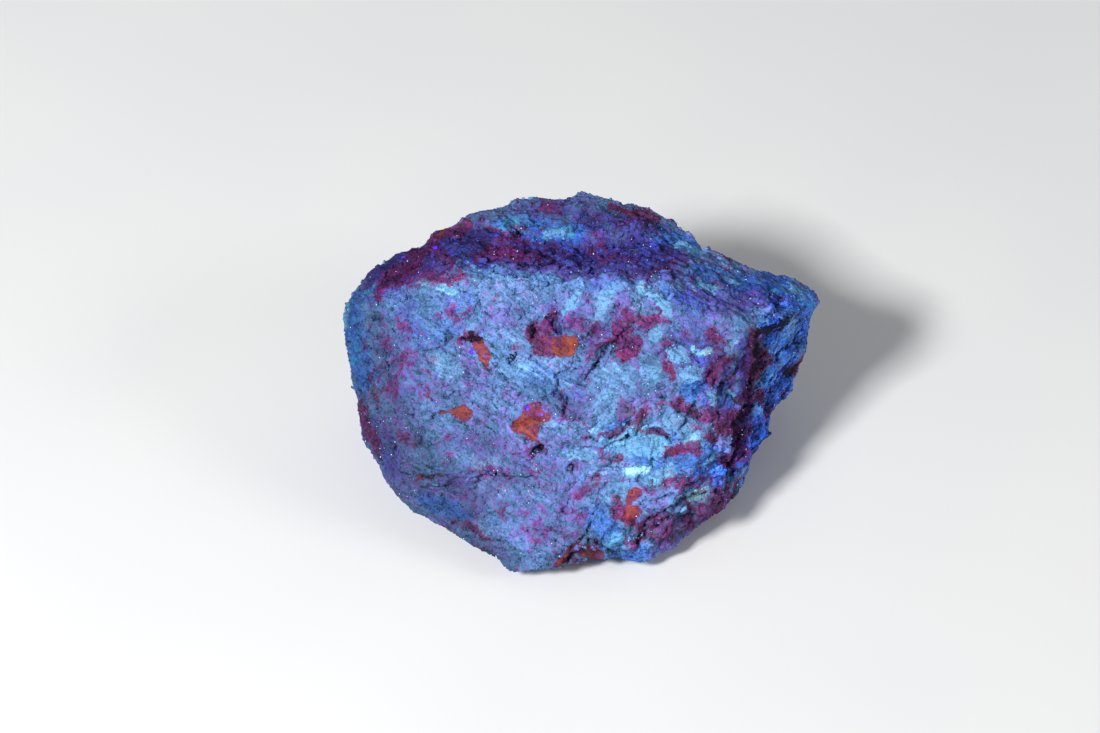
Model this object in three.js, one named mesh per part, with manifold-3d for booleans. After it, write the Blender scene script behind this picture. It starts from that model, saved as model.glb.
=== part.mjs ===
// A hand specimen of pegmatite: one broken block of pale, sugary feldspar with redder bands.
// It is a single solid. Millimetres, +Z up, resting on z = 0, with the origin under its middle.
import * as THREE from "three";
import Module from "manifold-3d";
import { ConvexHull } from "three/addons/math/ConvexHull.js";
import { mergeVertices } from "three/addons/utils/BufferGeometryUtils.js";

// Driving dimensions
const STONE_WIDTH = 121; // left corner to right tip
const VIEW_ELEVATION = 45; // degrees above the horizon, from which the corners below are stated
const GRID = 29; // divisions along each side of the cube that is blown up onto the stone
const MIDDLE = new THREE.Vector3(0, 40, 27); // a point deep inside, from which every corner is in sight
const FOOT_SINK = -5; // the foot's corners lie this far under the cut that makes the resting face
const GROUND = [300, 300, 40]; // the block that cuts it, wider than the stone and deeper than its foot
const BED_THICKNESS = 5; // the rock parts along beds that lie nearly square to the view
const BED_STEP = 1.9; // how much of that thickness the risers take up
const BED_DIP = { across: 0.1, up: 0.16 }; // the beds' lean, in millimetres a millimetre
const BED_WANDER = { size: 11, height: 4.5 };
const LUMPS = [
  { size: 19, height: 1.4 },
  { size: 8.5, height: 1.1 },
];
const CREASE_SPACING = 3; // corners are filled in along the creases until they are this close together
const CALM = { width: 9, share: 0.35 }; // near the outline the relief is only this share of itself

const tilt = THREE.MathUtils.degToRad(VIEW_ELEVATION);
const sine = Math.sin(tilt);
const cosine = Math.cos(tilt);

// A place as it is seen: millimetres to the right, up the picture and towards the eye.
const seen = ([across, up, towards]) =>
  new THREE.Vector3(across, up * sine - towards * cosine, up * cosine + towards * sine);

// The same place turned back into those three directions.
const asSeen = (p) => [p.x, p.y * sine + p.z * cosine, p.z * sine - p.y * cosine];

// The outline, clockwise from the left corner
const OUTLINE = [
  [-60.2, 63.2, -10], [-58, 68.5, -13], [-53.5, 75, -15], [-46.2, 79.8, -15], [-40.2, 81.2, -14],
  [-37.2, 85.2, -16], [-32.5, 86.8, -15], [-28.5, 89.8, -15], [-25, 91.2, -15], [-20.5, 90.8, -13],
  [-17.2, 93.8, -14], [-11.8, 94.2, -14], [-6.5, 92.8, -13], [-2.5, 94.2, -14], [0, 95.5, -14.5],
  [2.5, 92.5, -12], [7.5, 91.2, -12], [12, 92.2, -16], [17.2, 91, -16], [20, 88.5, -15],
  [23.2, 88, -15], [24.8, 85.2, -13], [27.5, 84.8, -13], [30.5, 81, -12], [37.2, 79.2, -12],
  [39.5, 77.5, -11], [45.8, 75.5, -11], [51.2, 74, -12], [55, 72.8, -13], [58.2, 70.5, -14],
  [60.8, 68, -18], [57.8, 62.8, -17], [57, 56.5, -17], [55.2, 50.8, -18], [52, 45, -17],
  [47.8, 39, -15], [46.5, 33.8, -13], [44, 30, -13], [39.8, 22.8, -11], [38.8, 18.5, -10],
  [35, 15.5, -6], [29.2, 11, -3], [22.5, 5.5, 1], [17, 2.8, 3], [13.5, 2, 5],
  [10, 3.2, 5], [5, 2.2, 5], [-1.8, 3.8, 4], [-2.8, 0.8, 7], [-8.5, 0, 8],
  [-18, 0.2, 7], [-21.2, 3.5, 5], [-28, 6.5, 3], [-37.5, 12.2, 0], [-45, 17, -3],
  [-48.8, 22.8, -4], [-50.8, 27.5, -5], [-54.8, 32, -7], [-55.5, 41.5, -8], [-57.5, 47.2, -8],
  [-58.8, 56, -8],
];

// The broad pale face, rows from low to high
const FRONT_FACE = [
  [-10.5, 12.8, 12], [8, 9, 10], [21, 12, 8], [-33, 17.8, 7], [4.5, 22, 14],
  [20, 22, 12.5], [31, 19, 5], [-40.5, 27.8, 6], [-49, 35, 1], [-28, 32.8, 12],
  [-10.5, 32.8, 15], [4.5, 32.8, 15.5], [17, 32.8, 15], [29.5, 32.8, 11.5], [-52.5, 42, -1],
  [-45.5, 50, 6], [-28, 50, 12], [-10.5, 50, 14.5], [4.5, 48, 15.5], [19.5, 48, 14.5],
  [32, 48, 12], [-55.5, 56, -1], [-40, 62, 8], [-20, 63, 13], [0, 62, 15],
];

// The edge where the pale face ends above, left to right
const UPPER_EDGE = [
  [-54.2, 67, -5], [-45.5, 68.8, 1], [-38, 71.8, 5.5], [-30, 73.8, 9], [-20.5, 72.5, 11.5],
  [-9.2, 73.2, 13], [4.5, 72.4, 14], [14.5, 71.6, 14], [20, 67.8, 14], [30, 64, 12.5],
];

// The shaded shelf behind that edge, and the low step that closes it at the back
const SHELF = [
  [-45.5, 75.2, -7], [-35.5, 80.2, -6], [-30, 80.8, -2], [-28.8, 76, 6.5], [-23, 82.4, -5],
  [-15.5, 77.2, 5], [-24.2, 87.2, -8], [-19.2, 84.6, -5], [-14, 82.5, -4.5], [-5.5, 81.8, -3.5],
  [4.5, 81.8, -3.5], [17, 82, -4], [27, 79.6, -4], [-5, 87.5, -7], [8, 87.5, -8],
];

// The slope on the right of the shelf
const RIGHT_SLOPE = [[24, 73, 7], [33, 72, 3], [42, 70.5, 0], [50, 69.5, -4]];

// The overhanging lip at that slope's lower edge, and the hollow under it
const LIP = [[30, 64, 12.5], [40.8, 61.6, 11.5], [46.5, 60.2, 9.5], [51, 62.6, 5], [55, 65.6, -2], [58.6, 67.4, -10]];
const UNDER_LIP = [[42, 58, 4], [46.4, 56.6, 1.5], [50.6, 58.8, -4], [54.6, 62, -10]];

// The pale face's steep right edge, the groove beside it, and the blocky flank beyond
const FACE_EDGE = [
  [40.8, 61.6, 11.5], [40.2, 54.5, 7.5], [40, 48, 6.5], [38.5, 43, 5.5], [36.2, 37.5, 5.5],
  [34.6, 32, 5], [34, 24, 3.5],
];
const GROOVE = [
  [42.2, 58, 3.5], [42.8, 52, -0.5], [42.2, 46, -1.5], [40.4, 40, -2], [37.6, 34, -1.5], [36.6, 27, -2],
];
const FLANK = [
  [44.8, 52, 0], [44.4, 46, -1], [42.4, 40, -2], [39.6, 34, -2], [38.4, 27, -3],
  [49, 53, -6], [48.5, 47, -7.5], [46, 41, -8], [42.5, 34, -6.5], [53, 55, -11], [51.5, 49, -12.5],
];

// The hidden back and the foot, in the part's own axes
const BACK = [
  [-46, 66, 36], [-25, 79, 42], [5, 84, 41], [28, 75, 36], [48, 66, 30],
  [-52, 66, 18], [-31, 81, 21], [-2, 90, 22], [27, 84, 19], [49, 68, 13],
];
const FOOT = [
  [-34, 60], [-19, 71], [7, 77], [28, 70], [38, 56], [33, 38], [23, 21], [7, 12], [-13, 11], [-27, 19],
  [-38, 34], [-40, 49],
];

// Ledges on the seen side. Each stands proud on the left of its line and falls off on the right.
const LEDGES = [
  { line: [[-1, 46], [2.5, 51], [3.6, 55], [8, 58], [10, 60.6], [14, 60.8], [18, 63]], drop: 1.7, reach: 8 },
  { line: [[18, 12], [21.5, 14], [24.2, 16.4], [29.5, 15.8], [34.5, 18.8]], drop: 2.8, reach: 7 },
  { line: [[11, 5], [14.5, 9.5], [16.8, 13], [20, 13.8]], drop: 1.6, reach: 5 },
  { line: [[-6.5, 0], [-4, 4.5], [-0.5, 8], [4.5, 7], [7, 4]], drop: 3.2, reach: 5 },
  { line: [[-44.5, 25.5], [-38, 22.4], [-32.5, 22.6], [-31, 24], [-20, 24.8], [-7, 24]], drop: 1.8, reach: 7 },
  { line: [[-25.2, 87], [-20.5, 85], [-16, 83.4], [-11, 83]], drop: 2, reach: 5 },
  { line: [[-13, 82.2], [-5, 83], [5, 82.8], [14, 83.6], [21, 84.6]], drop: 1.8, reach: 5 },
  { line: [[-6.8, 33.8], [-0.5, 32], [5.8, 32.8], [10, 34.8], [16, 39]], drop: 1.6, reach: 6 },
  { line: [[-56, 39], [-50, 39], [-42, 39.8], [-35, 41], [-27, 43]], drop: 1.1, reach: 6 },
];
const LEDGE_FOOT = { share: 0.4, reach: 3 }; // the hollow along a ledge's foot, as a share of its drop
const LEDGE_SLOPE = 1.6; // a ledge takes this far on both sides of its line to fall
const LEDGE_ENDS = 0.2; // it fades in and out over this share of its length
const SEEN_SIDE = { none: -18, full: -8 }; // how near the eye the ledges start, and where they are full

// Weathered-out holes on the seen side: half their width, height and depth, and the way that they lean
const PITS = [
  { at: [-11.3, 30.5], size: [1.5, 2, 1.8], lean: 25 },
  { at: [-3, 26.2], size: [0.8, 0.9, 1], lean: 0 },
  { at: [-26.4, 58.9], size: [2.6, 1.5, 1.4], lean: -20 },
  { at: [-17.4, 53.6], size: [0.9, 2.3, 1.3], lean: -38 },
  { at: [-16.2, 84.2], size: [1.3, 1.1, 1.5], lean: 0 },
];

const smooth = (t) => t * t * (3 - 2 * t);
const smoothBetween = (low, high, x) => smooth(THREE.MathUtils.clamp((x - low) / (high - low), 0, 1));

// Value noise from -1 to 1: random numbers on a lattice, blended smoothly in between
function lattice(i, j, k) {
  const s = Math.sin(i * 127.1 + j * 311.7 + k * 74.7) * 43758.5453;
  return s - Math.floor(s);
}

function noise(x, y, z) {
  const [i, j, k] = [x, y, z].map(Math.floor);
  const [a, b, c] = [smooth(x - i), smooth(y - j), smooth(z - k)];
  const { lerp } = THREE.MathUtils;
  const edge = (dj, dk) => lerp(lattice(i, j + dj, k + dk), lattice(i + 1, j + dj, k + dk), a);
  return 2 * lerp(lerp(edge(0, 0), edge(1, 0), b), lerp(edge(0, 1), edge(1, 1), b), c) - 1;
}

// A line's corners with more filled in between them
function filledIn(line) {
  return line.flatMap((corner, n) => {
    if (n === line.length - 1) return [corner];
    const next = line[n + 1];
    const length = Math.hypot(...corner.map((value, axis) => next[axis] - value));
    const parts = Math.ceil(length / CREASE_SPACING);
    return Array.from({ length: parts }, (_, part) =>
      corner.map((value, axis) => THREE.MathUtils.lerp(value, next[axis], part / parts)),
    );
  });
}

// Every corner of the block, as an arm from its middle
function cornerArms() {
  const creases = [[...OUTLINE, OUTLINE[0]], UPPER_EDGE, LIP, UNDER_LIP, FACE_EDGE, GROOVE];
  const corners = [...creases.flatMap(filledIn), ...FRONT_FACE, ...SHELF, ...RIGHT_SLOPE, ...FLANK].map(seen);
  corners.push(...BACK.map((p) => new THREE.Vector3(...p)));
  corners.push(...FOOT.map(([x, y]) => new THREE.Vector3(x, y, FOOT_SINK)));
  return corners.map((p) => p.sub(MIDDLE));
}

// The block's planes: neighbouring corners, as seen from the middle, joined by triangles
function blockPlanes(arms) {
  const armOf = new Map(arms.map((arm) => [arm.clone().normalize(), arm]));
  return new ConvexHull().setFromPoints([...armOf.keys()]).faces.map((face) => {
    const [a, b, c] = [face.edge, face.edge.next, face.edge.prev].map((e) => armOf.get(e.head().point));
    return new THREE.Matrix3().set(a.x, b.x, c.x, a.y, b.y, c.y, a.z, b.z, c.z).invert();
  });
}

// How far the block's surface is from the middle along a direction. A direction is a blend of a
// triangle's three arms, and it is the triangle where all three shares are positive.
function reachAlong(direction, planes) {
  let best = -Infinity;
  let reach = 0;
  for (const plane of planes) {
    const shares = direction.clone().applyMatrix3(plane);
    const least = Math.min(shares.x, shares.y, shares.z);
    if (least > best) {
      best = least;
      reach = 1 / (shares.x + shares.y + shares.z);
    }
  }
  return reach;
}

// Lumps and hollows, largest first
const lumpsAt = (p) =>
  LUMPS.reduce((sum, { size, height }) => sum + height * noise(p.x / size, p.y / size, p.z / size), 0);

// Terraces: within each bed the surface levels out, and it steps up at the bed's middle
function bedsAt(p) {
  const [across, up, towards] = asSeen(p);
  const wander = BED_WANDER.height * noise(...p.clone().divideScalar(BED_WANDER.size));
  const bed = (towards + BED_DIP.across * across + BED_DIP.up * up + wander) / BED_THICKNESS;
  const share = bed - Math.floor(bed);
  const riser = share ** 4 / (share ** 4 + (1 - share) ** 4);
  return BED_STEP * (riser - share) * 0.5;
}

// How far a place of the picture is from a line, whether it is on the line's left, and how far along it
function besideLine(across, up, line) {
  let best = { distance: Infinity };
  for (let n = 0; n < line.length - 1; n++) {
    const [x0, y0] = line[n];
    const [dx, dy] = [line[n + 1][0] - x0, line[n + 1][1] - y0];
    const along = ((across - x0) * dx + (up - y0) * dy) / (dx * dx + dy * dy);
    const t = THREE.MathUtils.clamp(along, 0, 1);
    const distance = Math.hypot(across - x0 - t * dx, up - y0 - t * dy);
    const left = dx * (up - y0) - dy * (across - x0) > 0;
    if (distance < best.distance) best = { distance, left, place: (n + t) / (line.length - 1) };
  }
  return best;
}

// The height that one ledge gives a place on the seen side
function ledgeAt(across, up, { line, drop, reach }) {
  const { distance, left, place } = besideLine(across, up, line);
  const ends = smoothBetween(0, LEDGE_ENDS, place) * smoothBetween(0, LEDGE_ENDS, 1 - place);
  const side = smoothBetween(-LEDGE_SLOPE, LEDGE_SLOPE, left ? distance : -distance);
  const above = side * Math.exp(-distance / reach);
  const below = (1 - side) * LEDGE_FOOT.share * Math.exp(-distance / LEDGE_FOOT.reach);
  return drop * ends * (above - below);
}

// A point of the stone's surface along a direction from the middle
function surfaceAlong(direction, planes) {
  const p = direction.clone().multiplyScalar(reachAlong(direction, planes)).add(MIDDLE);
  const [across, up, towards] = asSeen(p);
  const rim = besideLine(across, up, [...OUTLINE, OUTLINE[0]]).distance;
  const calm = CALM.share + (1 - CALM.share) * smoothBetween(0, CALM.width, rim);
  const facing = smoothBetween(SEEN_SIDE.none, SEEN_SIDE.full, towards);
  const ledges = LEDGES.reduce((sum, ledge) => sum + ledgeAt(across, up, ledge), 0);
  return p.addScaledVector(direction, calm * (lumpsAt(p) + bedsAt(p)) + facing * ledges);
}

// The rough block: a cube of small squares, each corner of them moved out to the stone's surface.
// The square corner nearest to each of the block's own corners is moved onto it, so that none is lost.
function roughBlock() {
  const cube = new THREE.BoxGeometry(2, 2, 2, GRID, GRID, GRID);
  cube.deleteAttribute("normal");
  cube.deleteAttribute("uv");
  const block = mergeVertices(cube);
  const places = block.getAttribute("position");
  const even = (x) => Math.tan((x * Math.PI) / 4);
  const directions = Array.from({ length: places.count }, (_, n) =>
    new THREE.Vector3(even(places.getX(n)), even(places.getY(n)), even(places.getZ(n))).normalize(),
  );
  const arms = cornerArms();
  for (const arm of arms) {
    const corner = arm.clone().normalize();
    const nearness = directions.map((direction) => direction.dot(corner));
    directions[nearness.indexOf(Math.max(...nearness))] = corner;
  }
  const planes = blockPlanes(arms);
  directions.forEach((direction, n) => places.setXYZ(n, ...surfaceAlong(direction, planes)));
  foldAlongSurface(block, directions, planes);
  return block;
}

// Turns the fold of each small square to the diagonal that lies nearer to the surface in its middle
function foldAlongSurface(block, directions, planes) {
  const places = block.getAttribute("position");
  const place = (n) => new THREE.Vector3().fromBufferAttribute(places, n);
  const index = block.index.array;
  for (let n = 0; n < index.length; n += 6) {
    const [a, b, d, , c] = index.slice(n, n + 5);
    const middle = [a, b, c, d].reduce((sum, k) => sum.add(directions[k]), new THREE.Vector3()).normalize();
    const wanted = surfaceAlong(middle, planes);
    const gap = (j, k) => place(j).add(place(k)).multiplyScalar(0.5).distanceTo(wanted);
    if (gap(a, c) < gap(b, d)) index.set([a, b, c, a, c, d], n);
  }
}

// Where the surface is seen at a place of the picture: as near to the eye as the nearest vertex there
function seenPoint(block, [across, up]) {
  const places = block.getAttribute("position");
  let nearest = { distance: Infinity };
  for (let n = 0; n < places.count; n++) {
    const point = new THREE.Vector3().fromBufferAttribute(places, n);
    const [u, v, w] = asSeen(point);
    const distance = Math.hypot(u - across, v - up);
    if (w > SEEN_SIDE.none && distance < nearest.distance) nearest = { distance, w };
  }
  return seen([across, up, nearest.w]);
}

// A weathered hole: a coarse ball, stretched and leaning in the picture's plane
function pitShape(block, { at, size, lean }) {
  const turned = new THREE.Matrix4().makeRotationX(-tilt).multiply(
    new THREE.Matrix4().makeRotationZ(THREE.MathUtils.degToRad(lean)),
  );
  const { x, y, z } = seenPoint(block, at);
  return new THREE.IcosahedronGeometry(1, 1).scale(...size).applyMatrix4(turned).translate(x, y, z);
}

const wasm = await Module();
wasm.setup();

function solidOf(geometry) {
  const bare = geometry.clone();
  bare.deleteAttribute("normal");
  bare.deleteAttribute("uv");
  const merged = mergeVertices(bare);
  return new wasm.Manifold(
    new wasm.Mesh({
      numProp: 3,
      vertProperties: merged.getAttribute("position").array,
      triVerts: new Uint32Array(merged.index.array),
    }),
  );
}

function geometryOf(solid) {
  const mesh = solid.getMesh();
  return new THREE.BufferGeometry()
    .setAttribute("position", new THREE.BufferAttribute(new Float32Array(mesh.vertProperties), 3))
    .setIndex(new THREE.BufferAttribute(new Uint32Array(mesh.triVerts), 1));
}

// The stone: the rough block with its foot cut flat and its weathered holes sunk in
function stone() {
  const block = roughBlock();
  const underGround = new THREE.BoxGeometry(...GROUND).translate(MIDDLE.x, MIDDLE.y, -GROUND[2] / 2);
  const pits = PITS.map((pit) => pitShape(block, pit));
  const cut = [underGround, ...pits].reduce((left, hole) => left.subtract(solidOf(hole)), solidOf(block));
  const acrosses = OUTLINE.map(([across]) => across);
  const scale = STONE_WIDTH / (Math.max(...acrosses) - Math.min(...acrosses));
  const geometry = geometryOf(cut).scale(scale, scale, scale);
  geometry.computeBoundingBox();
  const { x, y } = geometry.boundingBox.getCenter(new THREE.Vector3());
  return geometry.translate(-x, -y, 0);
}

const pegmatite = new THREE.Mesh(
  stone(),
  new THREE.MeshStandardMaterial({ color: 0x7d8ec2, roughness: 0.75, metalness: 0 }),
);
pegmatite.name = "pegmatite";

const group = new THREE.Group();
group.add(pegmatite);
export default group;
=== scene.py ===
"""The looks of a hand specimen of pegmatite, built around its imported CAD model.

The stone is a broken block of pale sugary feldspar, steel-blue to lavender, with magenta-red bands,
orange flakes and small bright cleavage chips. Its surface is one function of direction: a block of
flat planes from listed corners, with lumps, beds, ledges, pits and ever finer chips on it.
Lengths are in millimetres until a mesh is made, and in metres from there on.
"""
import math

import bmesh
import bpy
import numpy as np
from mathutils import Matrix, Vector


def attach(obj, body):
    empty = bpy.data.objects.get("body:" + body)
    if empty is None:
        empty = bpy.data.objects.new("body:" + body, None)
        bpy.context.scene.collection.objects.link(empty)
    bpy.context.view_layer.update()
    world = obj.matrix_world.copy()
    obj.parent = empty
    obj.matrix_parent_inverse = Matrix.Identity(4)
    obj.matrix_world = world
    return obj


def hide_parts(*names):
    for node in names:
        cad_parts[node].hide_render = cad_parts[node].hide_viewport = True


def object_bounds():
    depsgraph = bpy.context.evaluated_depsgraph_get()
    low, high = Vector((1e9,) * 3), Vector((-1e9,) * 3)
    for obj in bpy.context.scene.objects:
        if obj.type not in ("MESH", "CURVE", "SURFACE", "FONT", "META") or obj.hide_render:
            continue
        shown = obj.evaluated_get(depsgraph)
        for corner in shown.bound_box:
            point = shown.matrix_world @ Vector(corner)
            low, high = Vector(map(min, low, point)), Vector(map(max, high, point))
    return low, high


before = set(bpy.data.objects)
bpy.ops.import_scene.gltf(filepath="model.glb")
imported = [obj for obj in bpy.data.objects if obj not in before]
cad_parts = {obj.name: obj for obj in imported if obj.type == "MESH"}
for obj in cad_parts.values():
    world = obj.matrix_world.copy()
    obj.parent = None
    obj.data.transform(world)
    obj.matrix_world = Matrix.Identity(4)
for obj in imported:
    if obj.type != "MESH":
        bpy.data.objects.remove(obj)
cad_low, cad_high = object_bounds()

MM = 0.001
NODE = "pegmatite"

# The block, stated as it is seen: millimetres to the right, up the picture and towards the eye.
VIEW_ELEVATION = math.radians(45)
SINE = math.sin(VIEW_ELEVATION)
COSINE = math.cos(VIEW_ELEVATION)
MIDDLE = np.array([0.0, 40.0, 27.0])  # a point deep inside, from which every corner is in sight
FOOT_SINK = -5.0  # the foot's corners lie this far under the resting face
CREASE_SPACING = 3.0  # corners are filled in along the creases until they are this close together

OUTLINE = [
    (-60.2, 63.2, -10), (-58, 68.5, -13), (-53.5, 75, -15), (-46.2, 79.8, -15), (-40.2, 81.2, -14),
    (-37.2, 85.2, -16), (-32.5, 86.8, -15), (-28.5, 89.8, -15), (-25, 91.2, -15), (-20.5, 90.8, -13),
    (-17.2, 93.8, -14), (-11.8, 94.2, -14), (-6.5, 92.8, -13), (-2.5, 94.2, -14), (0, 95.5, -14.5),
    (2.5, 92.5, -12), (7.5, 91.2, -12), (12, 92.2, -16), (17.2, 91, -16), (20, 88.5, -15),
    (23.2, 88, -15), (24.8, 85.2, -13), (27.5, 84.8, -13), (30.5, 81, -12), (37.2, 79.2, -12),
    (39.5, 77.5, -11), (45.8, 75.5, -11), (51.2, 74, -12), (55, 72.8, -13), (58.2, 70.5, -14),
    (60.8, 68, -18), (57.8, 62.8, -17), (57, 56.5, -17), (55.2, 50.8, -18), (52, 45, -17),
    (47.8, 39, -15), (46.5, 33.8, -13), (44, 30, -13), (39.8, 22.8, -11), (38.8, 18.5, -10),
    (35, 15.5, -6), (29.2, 11, -3), (22.5, 5.5, 1), (17, 2.8, 3), (13.5, 2, 5),
    (10, 3.2, 5), (5, 2.2, 5), (-1.8, 3.8, 4), (-2.8, 0.8, 7), (-8.5, 0, 8),
    (-18, 0.2, 7), (-21.2, 3.5, 5), (-28, 6.5, 3), (-37.5, 12.2, 0), (-45, 17, -3),
    (-48.8, 22.8, -4), (-50.8, 27.5, -5), (-54.8, 32, -7), (-55.5, 41.5, -8), (-57.5, 47.2, -8),
    (-58.8, 56, -8), (-60.2, 63.2, -10),
]
FRONT_FACE = [
    (-10.5, 12.8, 12), (8, 9, 10), (21, 12, 8), (-33, 17.8, 7), (4.5, 22, 14),
    (20, 22, 12.5), (31, 19, 5), (-40.5, 27.8, 6), (-49, 35, 1), (-28, 32.8, 12),
    (-10.5, 32.8, 15), (4.5, 32.8, 15.5), (17, 32.8, 15), (29.5, 32.8, 11.5), (-52.5, 42, -1),
    (-45.5, 50, 6), (-28, 50, 12), (-10.5, 50, 14.5), (4.5, 48, 15.5), (19.5, 48, 14.5),
    (32, 48, 12), (-55.5, 56, -1), (-40, 62, 8), (-20, 63, 13), (0, 62, 15),
]
UPPER_EDGE = [
    (-54.2, 67, -5), (-45.5, 68.8, 1), (-38, 71.8, 5.5), (-30, 73.8, 9), (-20.5, 72.5, 11.5),
    (-9.2, 73.2, 13), (4.5, 72.4, 14), (14.5, 71.6, 14), (20, 67.8, 14), (30, 64, 12.5),
]
SHELF = [
    (-45.5, 75.2, -7), (-35.5, 80.2, -6), (-30, 80.8, -2), (-28.8, 76, 6.5), (-23, 82.4, -5),
    (-15.5, 77.2, 5), (-24.2, 87.2, -8), (-19.2, 84.6, -5), (-14, 82.5, -4.5), (-5.5, 81.8, -3.5),
    (4.5, 81.8, -3.5), (17, 82, -4), (27, 79.6, -4), (-5, 87.5, -7), (8, 87.5, -8),
]
RIGHT_SLOPE = [(24, 73, 7), (33, 72, 3), (42, 70.5, 0), (50, 69.5, -4)]
LIP = [
    (30, 64, 12.5), (40.8, 61.6, 11.5), (46.5, 60.2, 9.5), (51, 62.6, 5), (55, 65.6, -2),
    (58.6, 67.4, -10),
]
UNDER_LIP = [(42, 58, 4), (46.4, 56.6, 1.5), (50.6, 58.8, -4), (54.6, 62, -10)]
FACE_EDGE = [
    (40.8, 61.6, 11.5), (40.2, 54.5, 7.5), (40, 48, 6.5), (38.5, 43, 5.5), (36.2, 37.5, 5.5),
    (34.6, 32, 5), (34, 24, 3.5),
]
GROOVE = [
    (42.2, 58, 3.5), (42.8, 52, -0.5), (42.2, 46, -1.5), (40.4, 40, -2), (37.6, 34, -1.5),
    (36.6, 27, -2),
]
FLANK = [
    (44.8, 52, 0), (44.4, 46, -1), (42.4, 40, -2), (39.6, 34, -2), (38.4, 27, -3),
    (49, 53, -6), (48.5, 47, -7.5), (46, 41, -8), (42.5, 34, -6.5), (53, 55, -11), (51.5, 49, -12.5),
]
CREASES = [OUTLINE, UPPER_EDGE, LIP, UNDER_LIP, FACE_EDGE, GROOVE]

# The hidden back and the foot, in the part's own axes
BACK = [
    (-46, 66, 36), (-25, 79, 42), (5, 84, 41), (28, 75, 36), (48, 66, 30),
    (-52, 66, 18), (-31, 81, 21), (-2, 90, 22), (27, 84, 19), (49, 68, 13),
]
FOOT = [
    (-34, 60), (-19, 71), (7, 77), (28, 70), (38, 56), (33, 38), (23, 21), (7, 12), (-13, 11),
    (-27, 19), (-38, 34), (-40, 49),
]

# Lumps, and beds that lie nearly square to the view and part in steps
LUMPS = [(19.0, 1.4), (8.5, 1.1)]  # size and height
BED_THICKNESS = 5.0
BED_STEP = 1.9
BED_SHARPNESS = 4
BED_DIP = (0.1, 0.16)  # the beds' lean across and up
BED_WANDER = (11.0, 4.5)  # size and height
CALM = (9.0, 0.35)  # near the outline, over this width, the relief is only this share of itself

# Ledges: drop, reach, and corners across and up. Each stands proud on the left of its line by its
# drop, over its reach, and falls off on the right.
LEDGES = [
    (1.7, 8, (-1, 46), (2.5, 51), (3.6, 55), (8, 58), (10, 60.6), (14, 60.8), (18, 63)),
    (2.8, 7, (18, 12), (21.5, 14), (24.2, 16.4), (29.5, 15.8), (34.5, 18.8)),
    (1.6, 5, (11, 5), (14.5, 9.5), (16.8, 13), (20, 13.8)),
    (3.2, 5, (-6.5, 0), (-4, 4.5), (-0.5, 8), (4.5, 7), (7, 4)),
    (1.8, 7, (-44.5, 25.5), (-38, 22.4), (-32.5, 22.6), (-31, 24), (-20, 24.8), (-7, 24)),
    (2, 5, (-25.2, 87), (-20.5, 85), (-16, 83.4), (-11, 83)),
    (1.8, 5, (-13, 82.2), (-5, 83), (5, 82.8), (14, 83.6), (21, 84.6)),
    (1.6, 6, (-6.8, 33.8), (-0.5, 32), (5.8, 32.8), (10, 34.8), (16, 39)),
    (1.1, 6, (-56, 39), (-50, 39), (-42, 39.8), (-35, 41), (-27, 43)),
]
LEDGE_FOOT = (0.4, 3.0)  # the hollow along a ledge's foot: its share of the drop, and its reach
LEDGE_SLOPE = 0.7  # a ledge takes this far on both sides of its line to fall
LEDGE_ENDS = 0.2  # it fades in and out over this share of its length
LEDGE_DEPTHS = (-18.0, -8.0)  # how near the eye the ledges start, and where they are full

# Weathered-out holes: place, half their width, height and depth, and the way that they lean
PITS = [
    ((-11.3, 30.6), (2.2, 1.4, 2.4), 38),
    ((-12.6, 28.4), (0.8, 0.6, 0.9), 0),
    ((-3, 26.2), (1.1, 1.0, 1.6), 0),
    ((-26.4, 58.9), (2.6, 1.5, 1.4), -20),
    ((-17.4, 53.6), (0.9, 2.3, 1.3), -38),
    ((-16.2, 84.2), (1.3, 1.1, 1.5), 0),
]

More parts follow.
